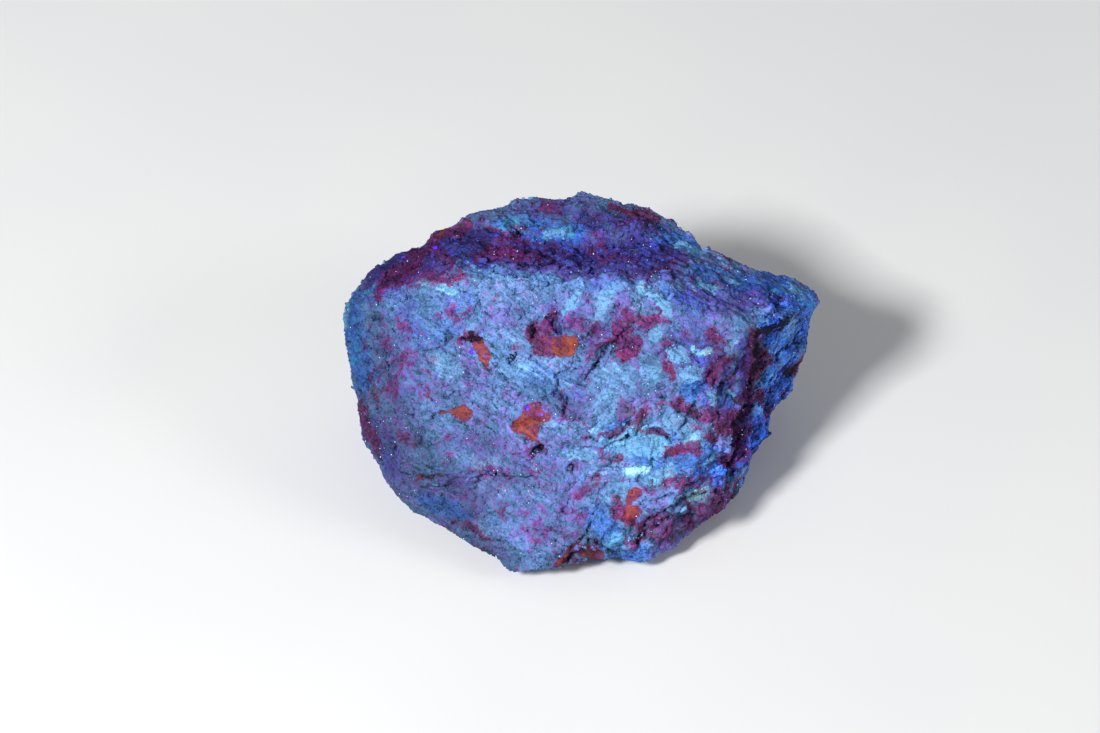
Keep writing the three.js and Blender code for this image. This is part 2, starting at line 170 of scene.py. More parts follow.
# Coloured strokes on the seen side: half width, strength, and corners across and up
ORANGE_FLAKES = [
    (0.7, 0.9, (-35.4, 40.3), (-31.6, 39.8)), (0.6, 0.95, (-40.8, 23.6), (-37.6, 23.1), (-35.2, 23.5)),
    (1.4, 0.95, (-5.4, 2.2), (-3, 4.8), (-0.4, 6), (3.8, 4.6)), (0.7, 0.9, (2.8, 7.8), (3.8, 7.4)),
    (0.9, 0.9, (-37.4, 84), (-35, 85)), (0.8, 0.8, (9.4, 91), (11.6, 89.6)),
    (0.8, 0.95, (53.8, 50.2), (56, 52.2)), (0.9, 0.95, (48.8, 39.8), (50, 42)),
    (0.8, 0.95, (43.2, 28.4), (44, 30)), (0.9, 1, (37.8, 17.6), (39.4, 21.8)),
    (1.1, 0.7, (21.8, 29.2), (24.2, 30.2)),
]
RED_STAINS = [
    (5.5, 0.2, (24, 60), (33, 53), (37, 42)), (3.6, 0.62, (18, 9.6), (26, 11.6), (34, 18)),
    (5.5, 0.3, (-47, 58), (-44, 48)), (9, 0.22, (-22, 24), (-6, 14)), (5, 0.34, (2, 63), (13, 60)),
    (4.2, 0.24, (-28, 80), (-8, 79)), (4.2, 0.16, (-4, 78.6), (20, 77)), (3.6, 0.25, (4, 87), (18, 86)),
    (3.4, 0.16, (30, 73), (48, 70)),
    (1.8, 0.8, (43, 60), (42.2, 54), (41.2, 48), (39.2, 41), (37, 35), (35, 27)),
    (3.6, 0.36, (22, 40), (36, 38)), (3.6, 0.2, (-46, 74), (-36, 80)),
    (1.9, 1, (-49.8, 71.4), (-46, 75), (-41, 77.6)), (1.2, 0.9, (-44, 79), (-38, 81.4)),
    (1.3, 1, (-39.4, 83.2), (-35.6, 84.8), (-28, 86.6)),
    (2, 0.5, (-41.2, 74.6), (-36.2, 73.6), (-31, 74.4)),
    (0.8, 1, (-38.6, 74.4), (-35, 73), (-32.4, 72.6), (-30.6, 73.6), (-30, 75.6)),
    (1, 0.9, (-50.6, 69.2), (-46, 71.4), (-42.6, 72.6)), (1.8, 0.7, (-35.6, 78.6), (-32.6, 77)),
    (1.5, 1, (-26.6, 78.6), (-23.6, 80.4), (-18.6, 79.2), (-11, 78.6)),
    (1, 1, (-22.6, 85.6), (-17.8, 84.6), (-15.2, 86.4)), (0.9, 0.9, (-20.4, 82), (-14.6, 82.6)),
    (1.6, 0.55, (-10, 91.6), (-6.6, 90.6)), (1, 1, (8, 91.6), (12.6, 89.4), (19.6, 88.4)),
    (0.9, 0.9, (13.4, 91.6), (17.2, 90.2)), (0.7, 0.6, (0.6, 81.8), (6.4, 80.4)),
    (0.8, 0.7, (1, 78.6), (9.8, 77.6), (13, 76.6)), (0.8, 0.75, (16.4, 73.2), (19.4, 75), (22.6, 75.8)),
    (0.9, 1, (34.6, 78.6), (36.4, 78)), (1.6, 1, (-12.8, 60.8), (-11.4, 58.6), (-10.4, 56)),
    (1.5, 0.95, (-9.4, 62), (-8.2, 58), (-8.6, 55.6)), (0.8, 0.95, (-8.6, 61.4), (-6.4, 63.6)),
    (1.1, 1, (-29.4, 57.8), (-26.8, 59)), (1.2, 1, (5.4, 56.6), (8, 58.4), (9.2, 61.4), (13.8, 62.6)),
    (0.9, 0.8, (11, 65.6), (12.6, 63.6)), (1.2, 1, (8.6, 55.2), (11.2, 54), (14, 54.2), (14.6, 57.6)),
    (1.4, 1, (20.6, 51), (21.8, 48.6)), (0.7, 0.9, (19.2, 54), (20, 53.6)),
    (0.6, 0.8, (19.2, 62.4), (20.4, 62)), (1.3, 1, (31.2, 60.2), (33.6, 58.4)),
    (1.4, 1, (35.4, 53.8), (33.4, 52), (32.2, 48.4), (31.4, 47.2)), (1.3, 1, (41.8, 58.2), (43.4, 60.2)),
    (1.3, 0.95, (44.4, 55), (44.4, 53), (43.6, 49)), (1.4, 0.9, (41, 45.4), (44, 44.4), (43, 42.6)),
    (1.1, 0.95, (13.4, 39.4), (16.4, 41)), (1, 0.85, (19, 41), (22.4, 42.2)),
    (1.5, 0.95, (24, 42.6), (27, 40.6), (31.4, 38.6)), (2, 1, (33.6, 35.6), (36.6, 37), (38.4, 39.6)),
    (0.9, 0.9, (39.4, 34), (41, 36)), (1.8, 0.95, (21.4, 28.8), (23.8, 31), (27.2, 31.4)),
    (1, 0.8, (45.4, 38.4), (46.8, 39.8)),
    (1.2, 1, (-55.6, 42.2), (-54.2, 38), (-53.2, 33.4), (-50.6, 29)),
    (0.9, 0.8, (-51.4, 68.6), (-50.6, 67.8)), (1.2, 0.5, (-48, 57.6), (-45.8, 54.6)),
    (0.6, 0.7, (-39.6, 49.4), (-37.4, 48.6)), (0.7, 0.6, (-38.2, 45.8), (-37.8, 43.2)),
    (1, 0.7, (-31.6, 11.4), (-25.6, 10.6), (-22, 9)), (1, 0.55, (-20.6, 15.8), (-19, 13.6)),
    (1.5, 0.6, (-12.4, 29.8), (-10.8, 31.4)), (0.6, 0.8, (-11.8, 25.2), (-10.6, 24.6)),
    (0.8, 0.5, (-18.4, 26.6), (-15.6, 25.6)), (1.3, 0.75, (-1, 19.4), (0.4, 22), (4.2, 24.2)),
    (1.1, 0.95, (9.4, 13.6), (14.2, 11.6), (15.2, 9)), (0.9, 0.9, (12.6, 7.4), (14.4, 8)),
    (1.1, 0.8, (26.6, 12.4), (30, 14.6), (34.6, 17.4)), (1.5, 0.62, (16.5, 20.6), (22, 23), (30, 22)),
    (1, 0.8, (-5.8, 1.6), (-2.4, 2.6)), (0.8, 0.8, (37, 28), (38.6, 31.6)),
    (0.8, 0.85, (4.5, 33.4), (11, 35.6), (14.5, 38.6)), (1.6, 0.8, (8.6, 18), (9.6, 14)),
    (1.5, 0.8, (13.4, 63.6), (18, 63)), (1, 0.85, (20.4, 57.8), (21.6, 55.8)),
    (0.8, 0.7, (15.6, 35.2), (19.6, 34)), (0.9, 0.6, (5.6, 28.6), (9, 29.6)),
    (0.9, 0.7, (29.6, 34.6), (32, 32.6)), (0.8, 0.5, (-5, 39.6), (-1, 38)),
    (1, 0.45, (-31, 64), (-26, 66.4)), (1, 0.5, (-46, 62), (-43, 59)),
    (1, 0.6, (-52.6, 47), (-50.4, 42)), (0.9, 0.5, (-44.6, 33.6), (-40, 32)),
]
PURPLE_ZONES = [
    (5, 1, (-50, 73), (-42, 78), (-30, 81)), (5.6, 1, (-28, 81), (-12, 80), (6, 79), (20, 78)),
    (3.6, 0.8, (2, 88), (16, 86)), (2.6, 0.5, (-14, 90), (-2, 91)),
    (4.2, 0.65, (26, 68), (40, 68), (48, 70)), (6, 0.6, (26, 58), (32, 50), (36, 42)),
    (5, 0.4, (-6, 61), (10, 61)), (4.6, 0.45, (20, 8), (28, 12), (36, 20)),
    (6, 0.35, (-46, 56), (-42, 48)), (10, 0.25, (-26, 24), (-14, 18), (-4, 20)),
    (3.4, 0.6, (-52, 36), (-47, 26)), (2.6, 0.9, (40.6, 56), (40, 42), (37, 30)),
]
# Clear blue and teal tint, and painted blue rim light along the left edge and at the right tip
COOL_AND_RIM_LIGHT_ZONES = [
    (4, 0.9, (-58, 66), (-57, 56), (-54, 48)), (1.5, 1, (-55.6, 68.8), (-51.6, 71.4)),
    (1, 0.6, (-30, 80.6), (-29.4, 78.4), (-26, 76.2), (-22, 75.4)),
    (6, 0.5, (-46, 66), (-38, 60), (-30, 66)), (3, 0.9, (-20, 87), (-10, 85), (-2, 85)),
    (2.8, 0.9, (20, 84), (28, 81.6)), (3.4, 0.85, (29, 74), (38, 72), (50, 71.6)),
    (3, 0.85, (49, 66.4), (57, 68.6), (56.4, 63), (54.6, 57)),
    (4.2, 1, (48, 60), (51, 54), (48, 46), (43, 32)), (2.4, 0.8, (27, 45), (33, 44), (37.6, 43)),
    (5.6, 0.75, (10, 34), (20, 30), (32, 26)), (3.4, 0.9, (28, 24), (36, 28)),
    (4, 0.75, (4, 14), (8, 6), (13, 4)), (2.6, 0.8, (-38, 17), (-30, 14.6)),
    (1.4, 0.5, (-26, 74.6), (-10, 72.6), (14, 71.6)), (2.4, 0.6, (20, 70), (28, 66)),
    (3.6, 0.5, (-12, 48), (-2, 46)), (1.4, 0.5, (30, 6), (40, 24)),
]
# Pale cleavage faces, and painted highlights on the rims, along the upper edge and over the lit middle
# of the front
PALE_AND_HIGHLIGHT_ZONES = [
    (1.4, 1.3, (11.2, 25.6), (14.6, 25.9)), (3.4, 0.85, (9.6, 31.6), (14, 35), (18.6, 31.4)),
    (1.2, 0.95, (13.4, 36.4), (15.2, 35.2)), (1.6, 0.95, (26.2, 33.2), (27.6, 34.4)),
    (1.3, 1.3, (27.4, 18), (30, 18.9)), (0.9, 1, (27.8, 55.2), (31.2, 55.6)),
    (0.5, 1, (44.6, 61.8), (46.8, 62.6)), (1.1, 0.5, (52.4, 69.8), (56.6, 69)),
    (1.1, 0.75, (36.2, 73), (39, 72)), (1.3, 0.7, (28.6, 71.6), (32.2, 71.4)),
    (1.6, 0.7, (24, 82), (28.6, 81)), (1.5, 0.75, (-8.8, 84.6), (-3.4, 85.2)),
    (1, 0.5, (-21, 88.4), (-15, 87.4)), (0.6, 0.9, (-40.6, 72.4), (-36.4, 73)),
    (0.4, 0.6, (-30.2, 80.2), (-29.2, 79.2)), (0.4, 0.8, (-31.4, 78), (-30.4, 78.2)),
    (0.45, 0.55, (-28.6, 77.8), (-26.6, 76), (-24.4, 75.4)), (0.5, 0.6, (-55, 68.8), (-53.8, 69.6)),
    (0.5, 0.6, (-52.4, 70.8), (-51.4, 71.4)), (0.9, 0.85, (-35.2, 70.8), (-31.6, 70.8)),
    (1.5, 0.85, (-59.2, 66), (-59.6, 62.4)), (1.2, 0.35, (-3.6, 64.6), (-0.4, 69.8)),
    (1.3, 0.35, (5.4, 64.6), (7.6, 70.6)), (1.3, 0.85, (14, 70.6), (19.6, 66.6)),
    (3.2, 0.25, (-20, 68.6), (-12, 68)), (1, 0.35, (-26, 73.4), (-14, 72.8), (0, 72.6)),
    (2.4, 0.5, (-36, 53.6), (-32, 50.4)), (1.6, 0.3, (-16.6, 52.6), (-6, 53)),
    (1.6, 0.35, (-8, 47.6), (-4, 47)), (2.4, 0.4, (6, 51), (11, 47.4), (5, 43)),
    (1, 0.9, (1.8, 34.6), (4, 34.4)), (1.4, 0.4, (-8, 36.6), (-2.4, 36.4)),
    (0.8, 0.8, (38.4, 41.6), (36.6, 45.6)), (1.2, 0.6, (-4, 29.4), (3, 29)),
    (1.2, 0.7, (30, 27), (32.6, 28.4)), (1.6, 0.7, (16, 22.6), (21, 25)),
    (1.6, 0.4, (-30, 28), (-20, 27.4)), (2.4, 0.3, (-24, 20.4), (-12, 19.6)),
]
# Dark cracks, and painted shadow in the groove, along the lip and at the feet of ledges
CRACKS_AND_SHADOWS = [
    (0.4, 0.6, (-45, 24.6), (-38, 23.4), (-32, 24.6)), (0.3, 0.42, (-32, 24.6), (-24, 25), (-12, 23.8)),
    (0.4, 0.5, (1, 48), (2.2, 50.4), (4, 53.4), (6, 55.8), (8.6, 58.4)),
    (0.3, 0.6, (4.4, 55.2), (6.6, 56.6), (8.4, 57.8)),
    (0.5, 0.45, (-16.8, 36.8), (-14.4, 37.6), (-12.4, 38.4), (-10, 38.2)),
    (0.4, 0.5, (-6.4, 61), (-5, 65)), (0.35, 0.6, (-26.2, 69.6), (-24.6, 65.4), (-22, 63.4)),
    (0.4, 0.5, (0, 33.2), (5, 32.6), (9, 34.4), (13, 38.6)), (0.5, 0.5, (3.6, 24.4), (7, 28)),
    (0.4, 0.5, (8.6, 44.2), (8.8, 38.6)),
    (0.45, 0.65, (13.4, 8), (16.4, 13), (22, 16.6), (30, 19.4), (34, 20.2)),
    (0.5, 0.6, (18, 12.4), (26, 15)), (0.45, 0.65, (-4.2, 0.6), (-2.4, 6), (0.8, 9.6), (2.4, 12.4)),
    (0.5, 0.7, (1, 8), (5, 6.8), (7, 5)), (0.45, 0.6, (20, 18.6), (26, 22), (34.6, 24.2)),
    (0.5, 0.5, (23, 42), (25.4, 38), (23, 34.8)), (0.6, 0.6, (29.6, 46), (32.4, 50.4), (34.8, 55.4)),
    (0.4, 0.45, (16, 52.6), (20, 55.4), (25, 56)), (0.8, 0.6, (-7.4, 44.8), (-4, 43.4), (-4.8, 40.6)),
    (0.4, 0.4, (-20.2, 50.2), (-12, 46.4), (-4, 44)), (0.35, 0.35, (-26.6, 48), (-16.4, 42.8)),
    (0.8, 1, (43.4, 60.6), (43, 56), (42.9, 52), (41.4, 48.4), (40.6, 44)),
    (0.4, 0.9, (47, 52.8), (49, 54.8), (52.5, 55.8), (53.8, 56.6), (54, 59), (55.4, 63.2)),
    (0.4, 0.9, (49.4, 48.8), (51.5, 50.8), (53.2, 52.8)),
    (0.7, 0.8, (51.6, 48), (53.2, 49.8), (54.8, 51.2)),
    (0.45, 0.9, (47, 40), (47, 43), (48, 44.6), (48.2, 47.6)),
    (0.7, 0.85, (40.6, 45), (39, 38.6), (36.6, 33), (35.8, 26)), (0.5, 0.8, (40, 30), (43, 34.4)),
    (0.6, 0.7, (-29.6, 80), (-22, 77.6), (-12, 76.4), (-6, 77.4)),
    (0.6, 0.7, (-26, 86), (-20, 84.4), (-15.6, 84.2)), (0.5, 0.5, (12, 84.4), (20, 84), (24, 80)),
    (0.5, 0.45, (21, 76), (27, 73.6), (32, 69.6), (40, 65.6)),
    (0.45, 0.55, (-22, 74.4), (-16, 73.6), (-11, 74.6)), (0.7, 0.85, (-29.6, 58.4), (-27.4, 58)),
    (0.7, 0.8, (-12.8, 61.4), (-12, 59.6)), (0.45, 0.5, (-28.4, 10.6), (-24, 8.2), (-18, 7.4)),
]
# Painted violet glints that glow
VIOLET_GLINTS = [
    (0.45, 0.8, (-13.8, 40.4), (-13.5, 40.5)), (0.45, 0.8, (-10.1, 39.7), (-9.7, 39.6)),
    (0.4, 0.7, (-27, 55.4), (-27.4, 55)), (0.4, 0.7, (-8.2, 62.6), (-7.8, 63)),
    (0.4, 0.8, (-37.4, 80.4), (-36.9, 80.9)), (0.35, 0.8, (-36, 81.4), (-35.6, 81.6)),
    (0.4, 0.8, (-44.9, 78.9), (-44.6, 79.2)), (0.3, 0.8, (-33, 79.4), (-32.6, 79.4)),
    (0.3, 0.8, (-27.6, 77), (-27.3, 77.2)), (0.3, 0.8, (-41.4, 77.6), (-41.2, 77.8)),
    (0.35, 0.7, (-24.2, 54), (-24, 53.6)),
]
# Painted shade: darker along the left and lower rims, on the shelf and the right slope, in the groove
# and under the lip
PAINTED_SHADE_ZONES = [
    (9, 1, (-56, 62), (-52, 46), (-44, 30), (-32, 16)), (9, 0.45, (-42, 62), (-38, 42), (-22, 22)),
    (6, 0.15, (-14, 14), (-4, 10)), (5, 1, (-60, 56), (-57, 38), (-49, 22), (-34, 9), (-20, 2)),
    (5.5, 1, (-54, 72), (-40, 80), (-26, 82)), (4.8, 0.75, (-28, 80), (-8, 79.4), (8, 79), (24, 77)),
    (5, 0.72, (-24, 91), (0, 91), (22, 87)), (4.4, 0.6, (28, 76), (40, 72), (54, 71)),
    (2.6, 0.5, (36, 66), (46, 65)), (4.2, 0.25, (-12, 58), (-2, 59), (6, 58), (14, 58)),
    (3.4, 0.6, (33, 56), (37, 46), (36, 36)), (2.4, 1, (42, 60), (41, 46), (37, 30), (36, 22)),
    (1.8, 1, (44.4, 58.4), (44.6, 52), (43.4, 46.6), (44.4, 43.4)),
    (2.2, 0.6, (36, 21), (30, 15), (22, 9)), (2.2, 0.4, (54, 58), (52, 46), (45, 34), (40, 20)),
    (3, 0.5, (12, 10), (22, 14), (32, 19)), (3.4, 0.7, (-6, 3), (2, 7), (8, 5)),
    (5, 0.3, (-46, 60), (-44, 48)), (3.4, 0.45, (-12, 46), (-2, 42)), (2.4, 0.3, (-30, 24), (-8, 22)),
    (2.6, 0.35, (16, 54), (22, 50)),
]
# Flat faces with straight borders, by their kind: how strong they are, how calm, and their corners
FACETS = {
    "orange": [
        (0.82, 0, (-14.6, 38.9), (-10.1, 36.6), (-7.8, 37.8), (-7.5, 39.2), (-9.1, 40.8),
         (-12.2, 42.6), (-14.4, 40.6)),
        (1.1, 0, (-18.2, 36), (-16.2, 34.6), (-14.4, 32.8), (-11.4, 32.8), (-10.2, 36.8), (-12, 39.2),
         (-14.9, 38.9), (-17.2, 37.6)),
        (1.15, 0, (-7.4, 58.4), (-7.2, 54.4), (-6.2, 53.7), (-1.8, 54.2), (-0.6, 56.2), (-0.8, 58.8),
         (-4.4, 59)),
        (0.5, 0, (-12, 58.2), (-11.6, 54.6), (-7.2, 53.9), (-7.2, 58.8)),
        (1, 0, (-28, 57), (-26.2, 54.2), (-25, 50.9), (-23, 50.2), (-22.5, 55.2), (-24.2, 58),
         (-27, 58.8)),
        (1, 0, (-32.6, 40.2), (-31.6, 38.2), (-29.4, 36.9), (-27.4, 38.4), (-26.6, 40.4), (-29.4, 42.2)),
        (0.9, 0, (10.7, 18.4), (11, 16.6), (13.9, 16.6), (14.4, 18.8), (15.4, 19.8), (15.2, 20.9),
         (13.1, 21.3), (11.1, 20.3)),
        (0.95, 0, (9.6, 13.2), (10.6, 12.3), (13.1, 12.9), (15, 15), (13.9, 16.8), (11, 16.8)),
    ],
    "red": [
        (0.5, 1, (8.9, 44.6), (8.6, 37.2), (11.8, 38.8), (13.4, 41.4)),
        (1, 0, (-12.4, 58.6), (-12, 54.2), (-7, 53.6), (-7, 59)),
        (0.7, 0, (6.4, 57.6), (8.6, 53.8), (13.6, 53.2), (15.2, 57.2), (12, 60.8), (8.4, 60.2)),
        (0.9, 0, (41.2, 60.8), (41, 56.4), (44, 56), (44.6, 60.4)),
    ],
    # Painted shadow under the lip
    "dark": [
        (1, 0, (42.4, 61.1), (47.8, 61.4), (47.8, 59.5), (45.6, 59.5), (43, 60.2)),
        (1, 0, (47.5, 61.4), (52.7, 64.8), (51.5, 62.8), (49.5, 60.3), (47.5, 59.5)),
    ],
    "bright": [
        (0.55, 0.8, (-5.8, 64.3), (-3.9, 63.7), (0.4, 70.4), (-2, 70.6)),
        (0.62, 0.8, (2.2, 61.9), (4.7, 62.7), (8.4, 70.6), (4.4, 70.6)),
        (0.45, 0, (10.6, 70.2), (13.4, 64.4), (16, 64), (14.4, 70.4)),
        (0.55, 0.7, (16.4, 70), (19.8, 63.4), (23.6, 62.8), (19.6, 69.4)),
        (0.42, 0.8, (1.8, 42.4), (4.4, 35.8), (8.5, 36.4), (8.7, 45.4), (5.4, 46.4)),
        (0.4, 0.7, (3.2, 47.4), (10.6, 47), (13.4, 50.4), (8.2, 53), (4, 51.4)),
        (0.36, 0, (-20.2, 60.8), (-18.4, 56.2), (-14.2, 57), (-15.2, 61.4)),
        (0.36, 0, (-22, 51.2), (-16.2, 47.2), (-10.4, 49.2), (-12.6, 52.8)),
        (0.42, 0.8, (45.7, 56), (46.8, 53.8), (53, 56.5), (54.2, 59.5), (54.4, 63.7), (52, 63.6)),
        (0.38, 0.8, (42.8, 45.8), (45.2, 44.5), (49.8, 49.2), (53.2, 53.5), (53, 55), (49, 54.5),
         (45.2, 51)),
        (0.55, 0, (41.5, 41.5), (45.2, 43.5), (46.2, 42.5), (44.2, 38.8), (42, 39.2)),
        (0.6, 0.8, (16.3, 60.7), (19.3, 61.4), (20, 59.4), (18.8, 57.4), (16.5, 57.9)),
        (0.55, 0, (20.3, 55.1), (22.6, 56.9), (26.1, 55.1), (26.6, 52.6), (23.6, 51.6), (20.5, 52.6)),
        (0.45, 0.6, (14.5, 54.1), (17.5, 54.6), (19.5, 51.1), (19, 46.6), (15.5, 45.1), (14.4, 46.5)),
        (0.5, 0, (24.1, 51.1), (27.6, 52.4), (30.1, 50.6), (29.6, 47.6), (25.6, 46.1), (23.6, 48.1)),
        (0.6, 0, (30.1, 45.1), (33.6, 45.6), (34.6, 43.1), (31.1, 41.3)),
        (0.65, 0.7, (19.3, 38), (20.5, 40), (23.6, 39.5), (24.3, 37.5), (23.1, 35.5), (20, 35.5)),
        (0.7, 0.7, (24.1, 35), (25.1, 37), (27.6, 37.5), (28.3, 35), (27.1, 32.7), (24.6, 32.7)),
        (0.6, 0.7, (6.6, 32), (12.1, 34.4), (18.6, 34.4), (21.7, 31.7), (18.1, 29.6), (9.6, 29.1)),
        (0.4, 0, (34.6, 55.6), (36.7, 58.2), (39.7, 59.7), (38.7, 57.2), (36.2, 54.6)),
        (0.4, 0, (-0.2, 25.6), (3.6, 28.6), (10.6, 28.6), (9.6, 26.1), (4.6, 24.1)),
        (0.45, 0.8, (4.1, 18.6), (6.1, 22.6), (11.1, 23.1), (12.1, 21.1), (10.6, 17.6), (5.6, 17.1)),
        (0.45, 0, (16.9, 9.5), (17.6, 11.5), (19.4, 11), (19.4, 8.5), (17.6, 7.5)),
        (0.45, 0, (4.6, 8), (7.6, 10.3), (11.6, 8.5), (11.1, 5.5), (6.6, 4.5)),
    ],
}
CALM_ZONES = [
    (2.6, 1, (40, 61.4), (46, 60.8), (51, 63), (56, 66.6)), (2.4, 0.8, (43.6, 56.6), (49, 58.6)),
    (1.6, 0.7, (8.6, 44), (10.6, 41)), (2.6, 0.7, (-44, 74.4), (-34, 75)), (1.4, 0.6, (-3, 66), (0, 69)),
    (3.4, 0.5, (4, 48), (14, 48)),
]
FLANK_ZONES = [(6.5, 1, (50, 62), (48, 50), (42, 36), (38, 22))]
RISING_ZONES = [
    (8, 1, (14, 10), (26, 18), (36, 26)), (7, 0.9, (6, 38), (28, 42), (34, 54)),
    (5, 1, (-53, 70), (-33, 82)),
]
ROUGH_ZONES = [
    (4, 0.2, (49, 56), (47, 50), (41, 34), (38, 22)), (2.6, 0.7, (41.6, 52), (40, 40), (36, 26)),
    (6, 0.5, (-50, 72), (-30, 80), (-10, 80), (22, 78), (46, 70)), (5, 0.6, (-14, 88), (14, 87)),
    (7, 0.8, (14, 12), (26, 19), (34, 26)), (7, 0.7, (10, 34), (24, 38), (32, 46)),
    (5, 0.7, (-2, 4), (8, 6)), (4, 0.5, (-8, 62), (10, 58)), (4, 0.3, (-53, 60), (-52, 40), (-46, 24)),
]
STROKE_WARP = [(3.4, 1.3), (1.3, 0.7)]  # size and height of the wander of the strokes' borders
CRACK_WARP = [(3.4, 0.6), (1.3, 0.35)]  # the same for the facets, the cracks and painted shadows, and the glints
FACET_BORDER = 0.4  # half the width over which a facet's border fades
STROKE_BORDER = (1.6, 0.4)  # in half widths: where a stroke starts, and where it is full
# Each kind of stroke, with the place in the noise and the least level of the patches that stand in
# for it on the hidden sides
STROKES = {
    "orange": (ORANGE_FLAKES, 11, 0.85),
    "red": (RED_STAINS, 23, 0.6),
    "purple": (PURPLE_ZONES, 37, 0.3),
    "cool_and_rim_light": (COOL_AND_RIM_LIGHT_ZONES, 41, 0.4),
    "bright": (PALE_AND_HIGHLIGHT_ZONES, 53, 0.25),
    "dark": (CRACKS_AND_SHADOWS, 67, 1.2, CRACK_WARP),
    "violet": (VIOLET_GLINTS, 83, 1.4, CRACK_WARP),
    "painted_shade": (PAINTED_SHADE_ZONES, 91, 0.45),
    "calm": (CALM_ZONES, 95, 0.5),
    "flank": (FLANK_ZONES, 97, 0.0),
    "rising": (RISING_ZONES, 101, 0.0),
    "rough": (ROUGH_ZONES, 71, 0.0),
}
STROKE_DEPTHS = (-27.0, -20.0)  # towards the eye: where the seen side starts, and where it is full
STROKE_SLOPES = (-0.35, -0.05)  # the same for how squarely a place faces the eye
HIDDEN_SIZES = (11.0, 3.0)  # the patches of the hidden sides, and the raggedness of their borders
HIDDEN_RAGGED = 0.7  # how much of the ragged noise is in them
HIDDEN_BORDER = 0.6  # the rise of the noise over which they fade in
HIDDEN_SHARE = 0.7  # how strong they are

# Ribs: half the width of their zone, their lean and height, and where they run
RIB_ZONES = [
    (6, 54, 2.6, (50, 62), (48, 50), (42, 34), (38, 20)),
    (2.6, 76, 1.4, (41.5, 58), (40, 42), (36.5, 26)), (5.4, -20, 1.3, (-28, 79), (0, 79), (22, 78)),
    (5, -14, 1.1, (-22, 88), (18, 87)), (5, 40, 1.3, (-53, 70), (-33, 82)),
    (5, -27, 1.2, (24, 75), (52, 69)), (7, 27, 1.6, (14, 10), (26, 18), (36, 26)),
    (8, 22, 0.8, (8, 36), (30, 44), (34, 56)), (10, -33, 0.9, (-50, 62), (-40, 42)),
    (11, -27, 0.9, (-34, 26), (-8, 14)), (9, -40, 0.8, (-30, 60), (-10, 46)),
    (5, 60, 0.9, (-8, 66), (18, 66)),
]
RIB_SIZES = [(12.0, 2.0, 1.0), (6.0, 0.95, 0.5)]  # length, width and share of the height
RIB_DIP = 0.5  # how far they shift sideways with the depth
RIB_BORDER = (1.5, 0.6)  # in half widths of their zone: where they start, and where they are full
HIDDEN_RIBS = (12, 0.9)  # the lean and height on the hidden sides

# The finer relief: size and height of each kind, largest first
CHIPS = [(7.0, 0.8), (3.2, 0.45)]
CRUMBS = [(3.6, 0.2), (1.5, 0.12)]
PLATE_THICKNESS = 1.9
PLATE_STEP = 0.7
PLATE_SHARPNESS = 7
PLATE_WANDER = (8.0, 2.2)
ROUGHER = 1.3  # how much higher all this is where it is roughest
FLAKE_CALM = 0.75  # how much lower it is on the orange flakes and in calm places
FINE_CALM = (5.0, 0.5)  # near the outline, over this width, it is only this share of itself
CRACK_DEPTH = 1.3
PIT_DARK = 1.2  # a pit is painted dark, as shade, from this depth on
FOOT_HOLLOWS = (6.0, 0.3)  # the hollows of the resting face: size and depth
SEEN_SIDE_DENSER = 0.35  # how far the grid's directions are drawn to the seen side

# Loose chips on the surface: how many, their usual size, its spread, and the most and least size
CLEAVAGE_CHIPS = (9000, 1.1, 0.35, (0.6, 2.4))
CRUMB_CHIPS = (16000, 0.6, 0.3, (0.3, 1.2))
CHIP_THICKNESS = 0.36  # in parts of the chip's size
CHIP_STANDS_OUT = 0.25  # the share of the thickness that shows
CHIP_TOP = 0.85  # its top, in parts of its foot
CHIP_TILT = 0.22
CHIP_LENGTHS = (1, 1.5)  # in parts of its width
CHIP_REACHES = (0.8, 1.25)  # how far its corners reach, in parts of its usual reach
CHIP_SKEW = 0.3  # how far its corners turn, in parts of a right angle
CHIP_DARK = 0.5  # how dark it is on a crack or a painted shadow, and up to twice that in calm places
CHIPS_OFF_FLAKES = 0.8  # how many fewer lie on the orange flakes
CHIP_FACES = [(0, 1, 2, 3), (7, 6, 5, 4), (0, 4, 5, 1), (1, 5, 6, 2), (2, 6, 7, 3), (3, 7, 4, 0)]
BOX_MARGIN = 0.25  # the stone stays this far inside the CAD model's box, for the chips on it

STONE_GRID = 128  # divisions along each side of the cube that is blown up onto the stone
BLOCK_ROWS = 4096  # directions worked out at a time, to save memory


def smooth(t):
    """A step without corners: three times the square, less twice the cube."""
    return t * t * (3 - 2 * t)


def smooth_between(low, high, x):
    """0 below low, 1 above high, and a smooth step in between."""
    return smooth(np.clip((x - low) / (high - low), 0, 1))


def unit(arrows):
    """Arrows made one long."""
    return arrows / np.linalg.norm(arrows, axis=-1, keepdims=True)


def turned(across, up, lean):
    """How far along and beside a direction that leans from level by so many degrees."""
    turn = math.radians(lean)
    along = across * math.cos(turn) + up * math.sin(turn)
    return along, up * math.cos(turn) - across * math.sin(turn)


def seen(corners):
    """Turns places across, up and towards the eye into the part's axes."""
    across, up, towards = np.array(corners, float).T
    return np.stack([across, up * SINE - towards * COSINE, up * COSINE + towards * SINE], axis=-1)


def as_seen(places):
    """Turns places in the part's axes back into across, up and towards the eye."""
    x, y, z = places.T
    return x, y * SINE + z * COSINE, z * SINE - y * COSINE


def lattice(cells):
    """A random number from 0 to 1 for each whole-numbered cell: the fraction of a large sine."""
    s = np.sin(cells[..., 0] * 127.1 + cells[..., 1] * 311.7 + cells[..., 2] * 74.7) * 43758.5453
    return s - np.floor(s)


def noise(places, size):
    """Value noise from -1 to 1: the lattice's numbers, blended smoothly over each cell."""
    p = places / size
    cell = np.floor(p)
    share = smooth(p - cell)
    total = np.zeros(len(p))
    for corner in np.ndindex(2, 2, 2):
        weight = np.prod(np.where(corner, share, 1 - share), axis=-1)
        total += weight * lattice(cell + corner)
    return 2 * total - 1


def three_numbers(cells):
    """Three random numbers from 0 to 1 for each cell."""
    return np.stack([lattice(cells + shift) for shift in ((0, 0, 0), (19, 0, 7), (0, 43, 11))], axis=-1)


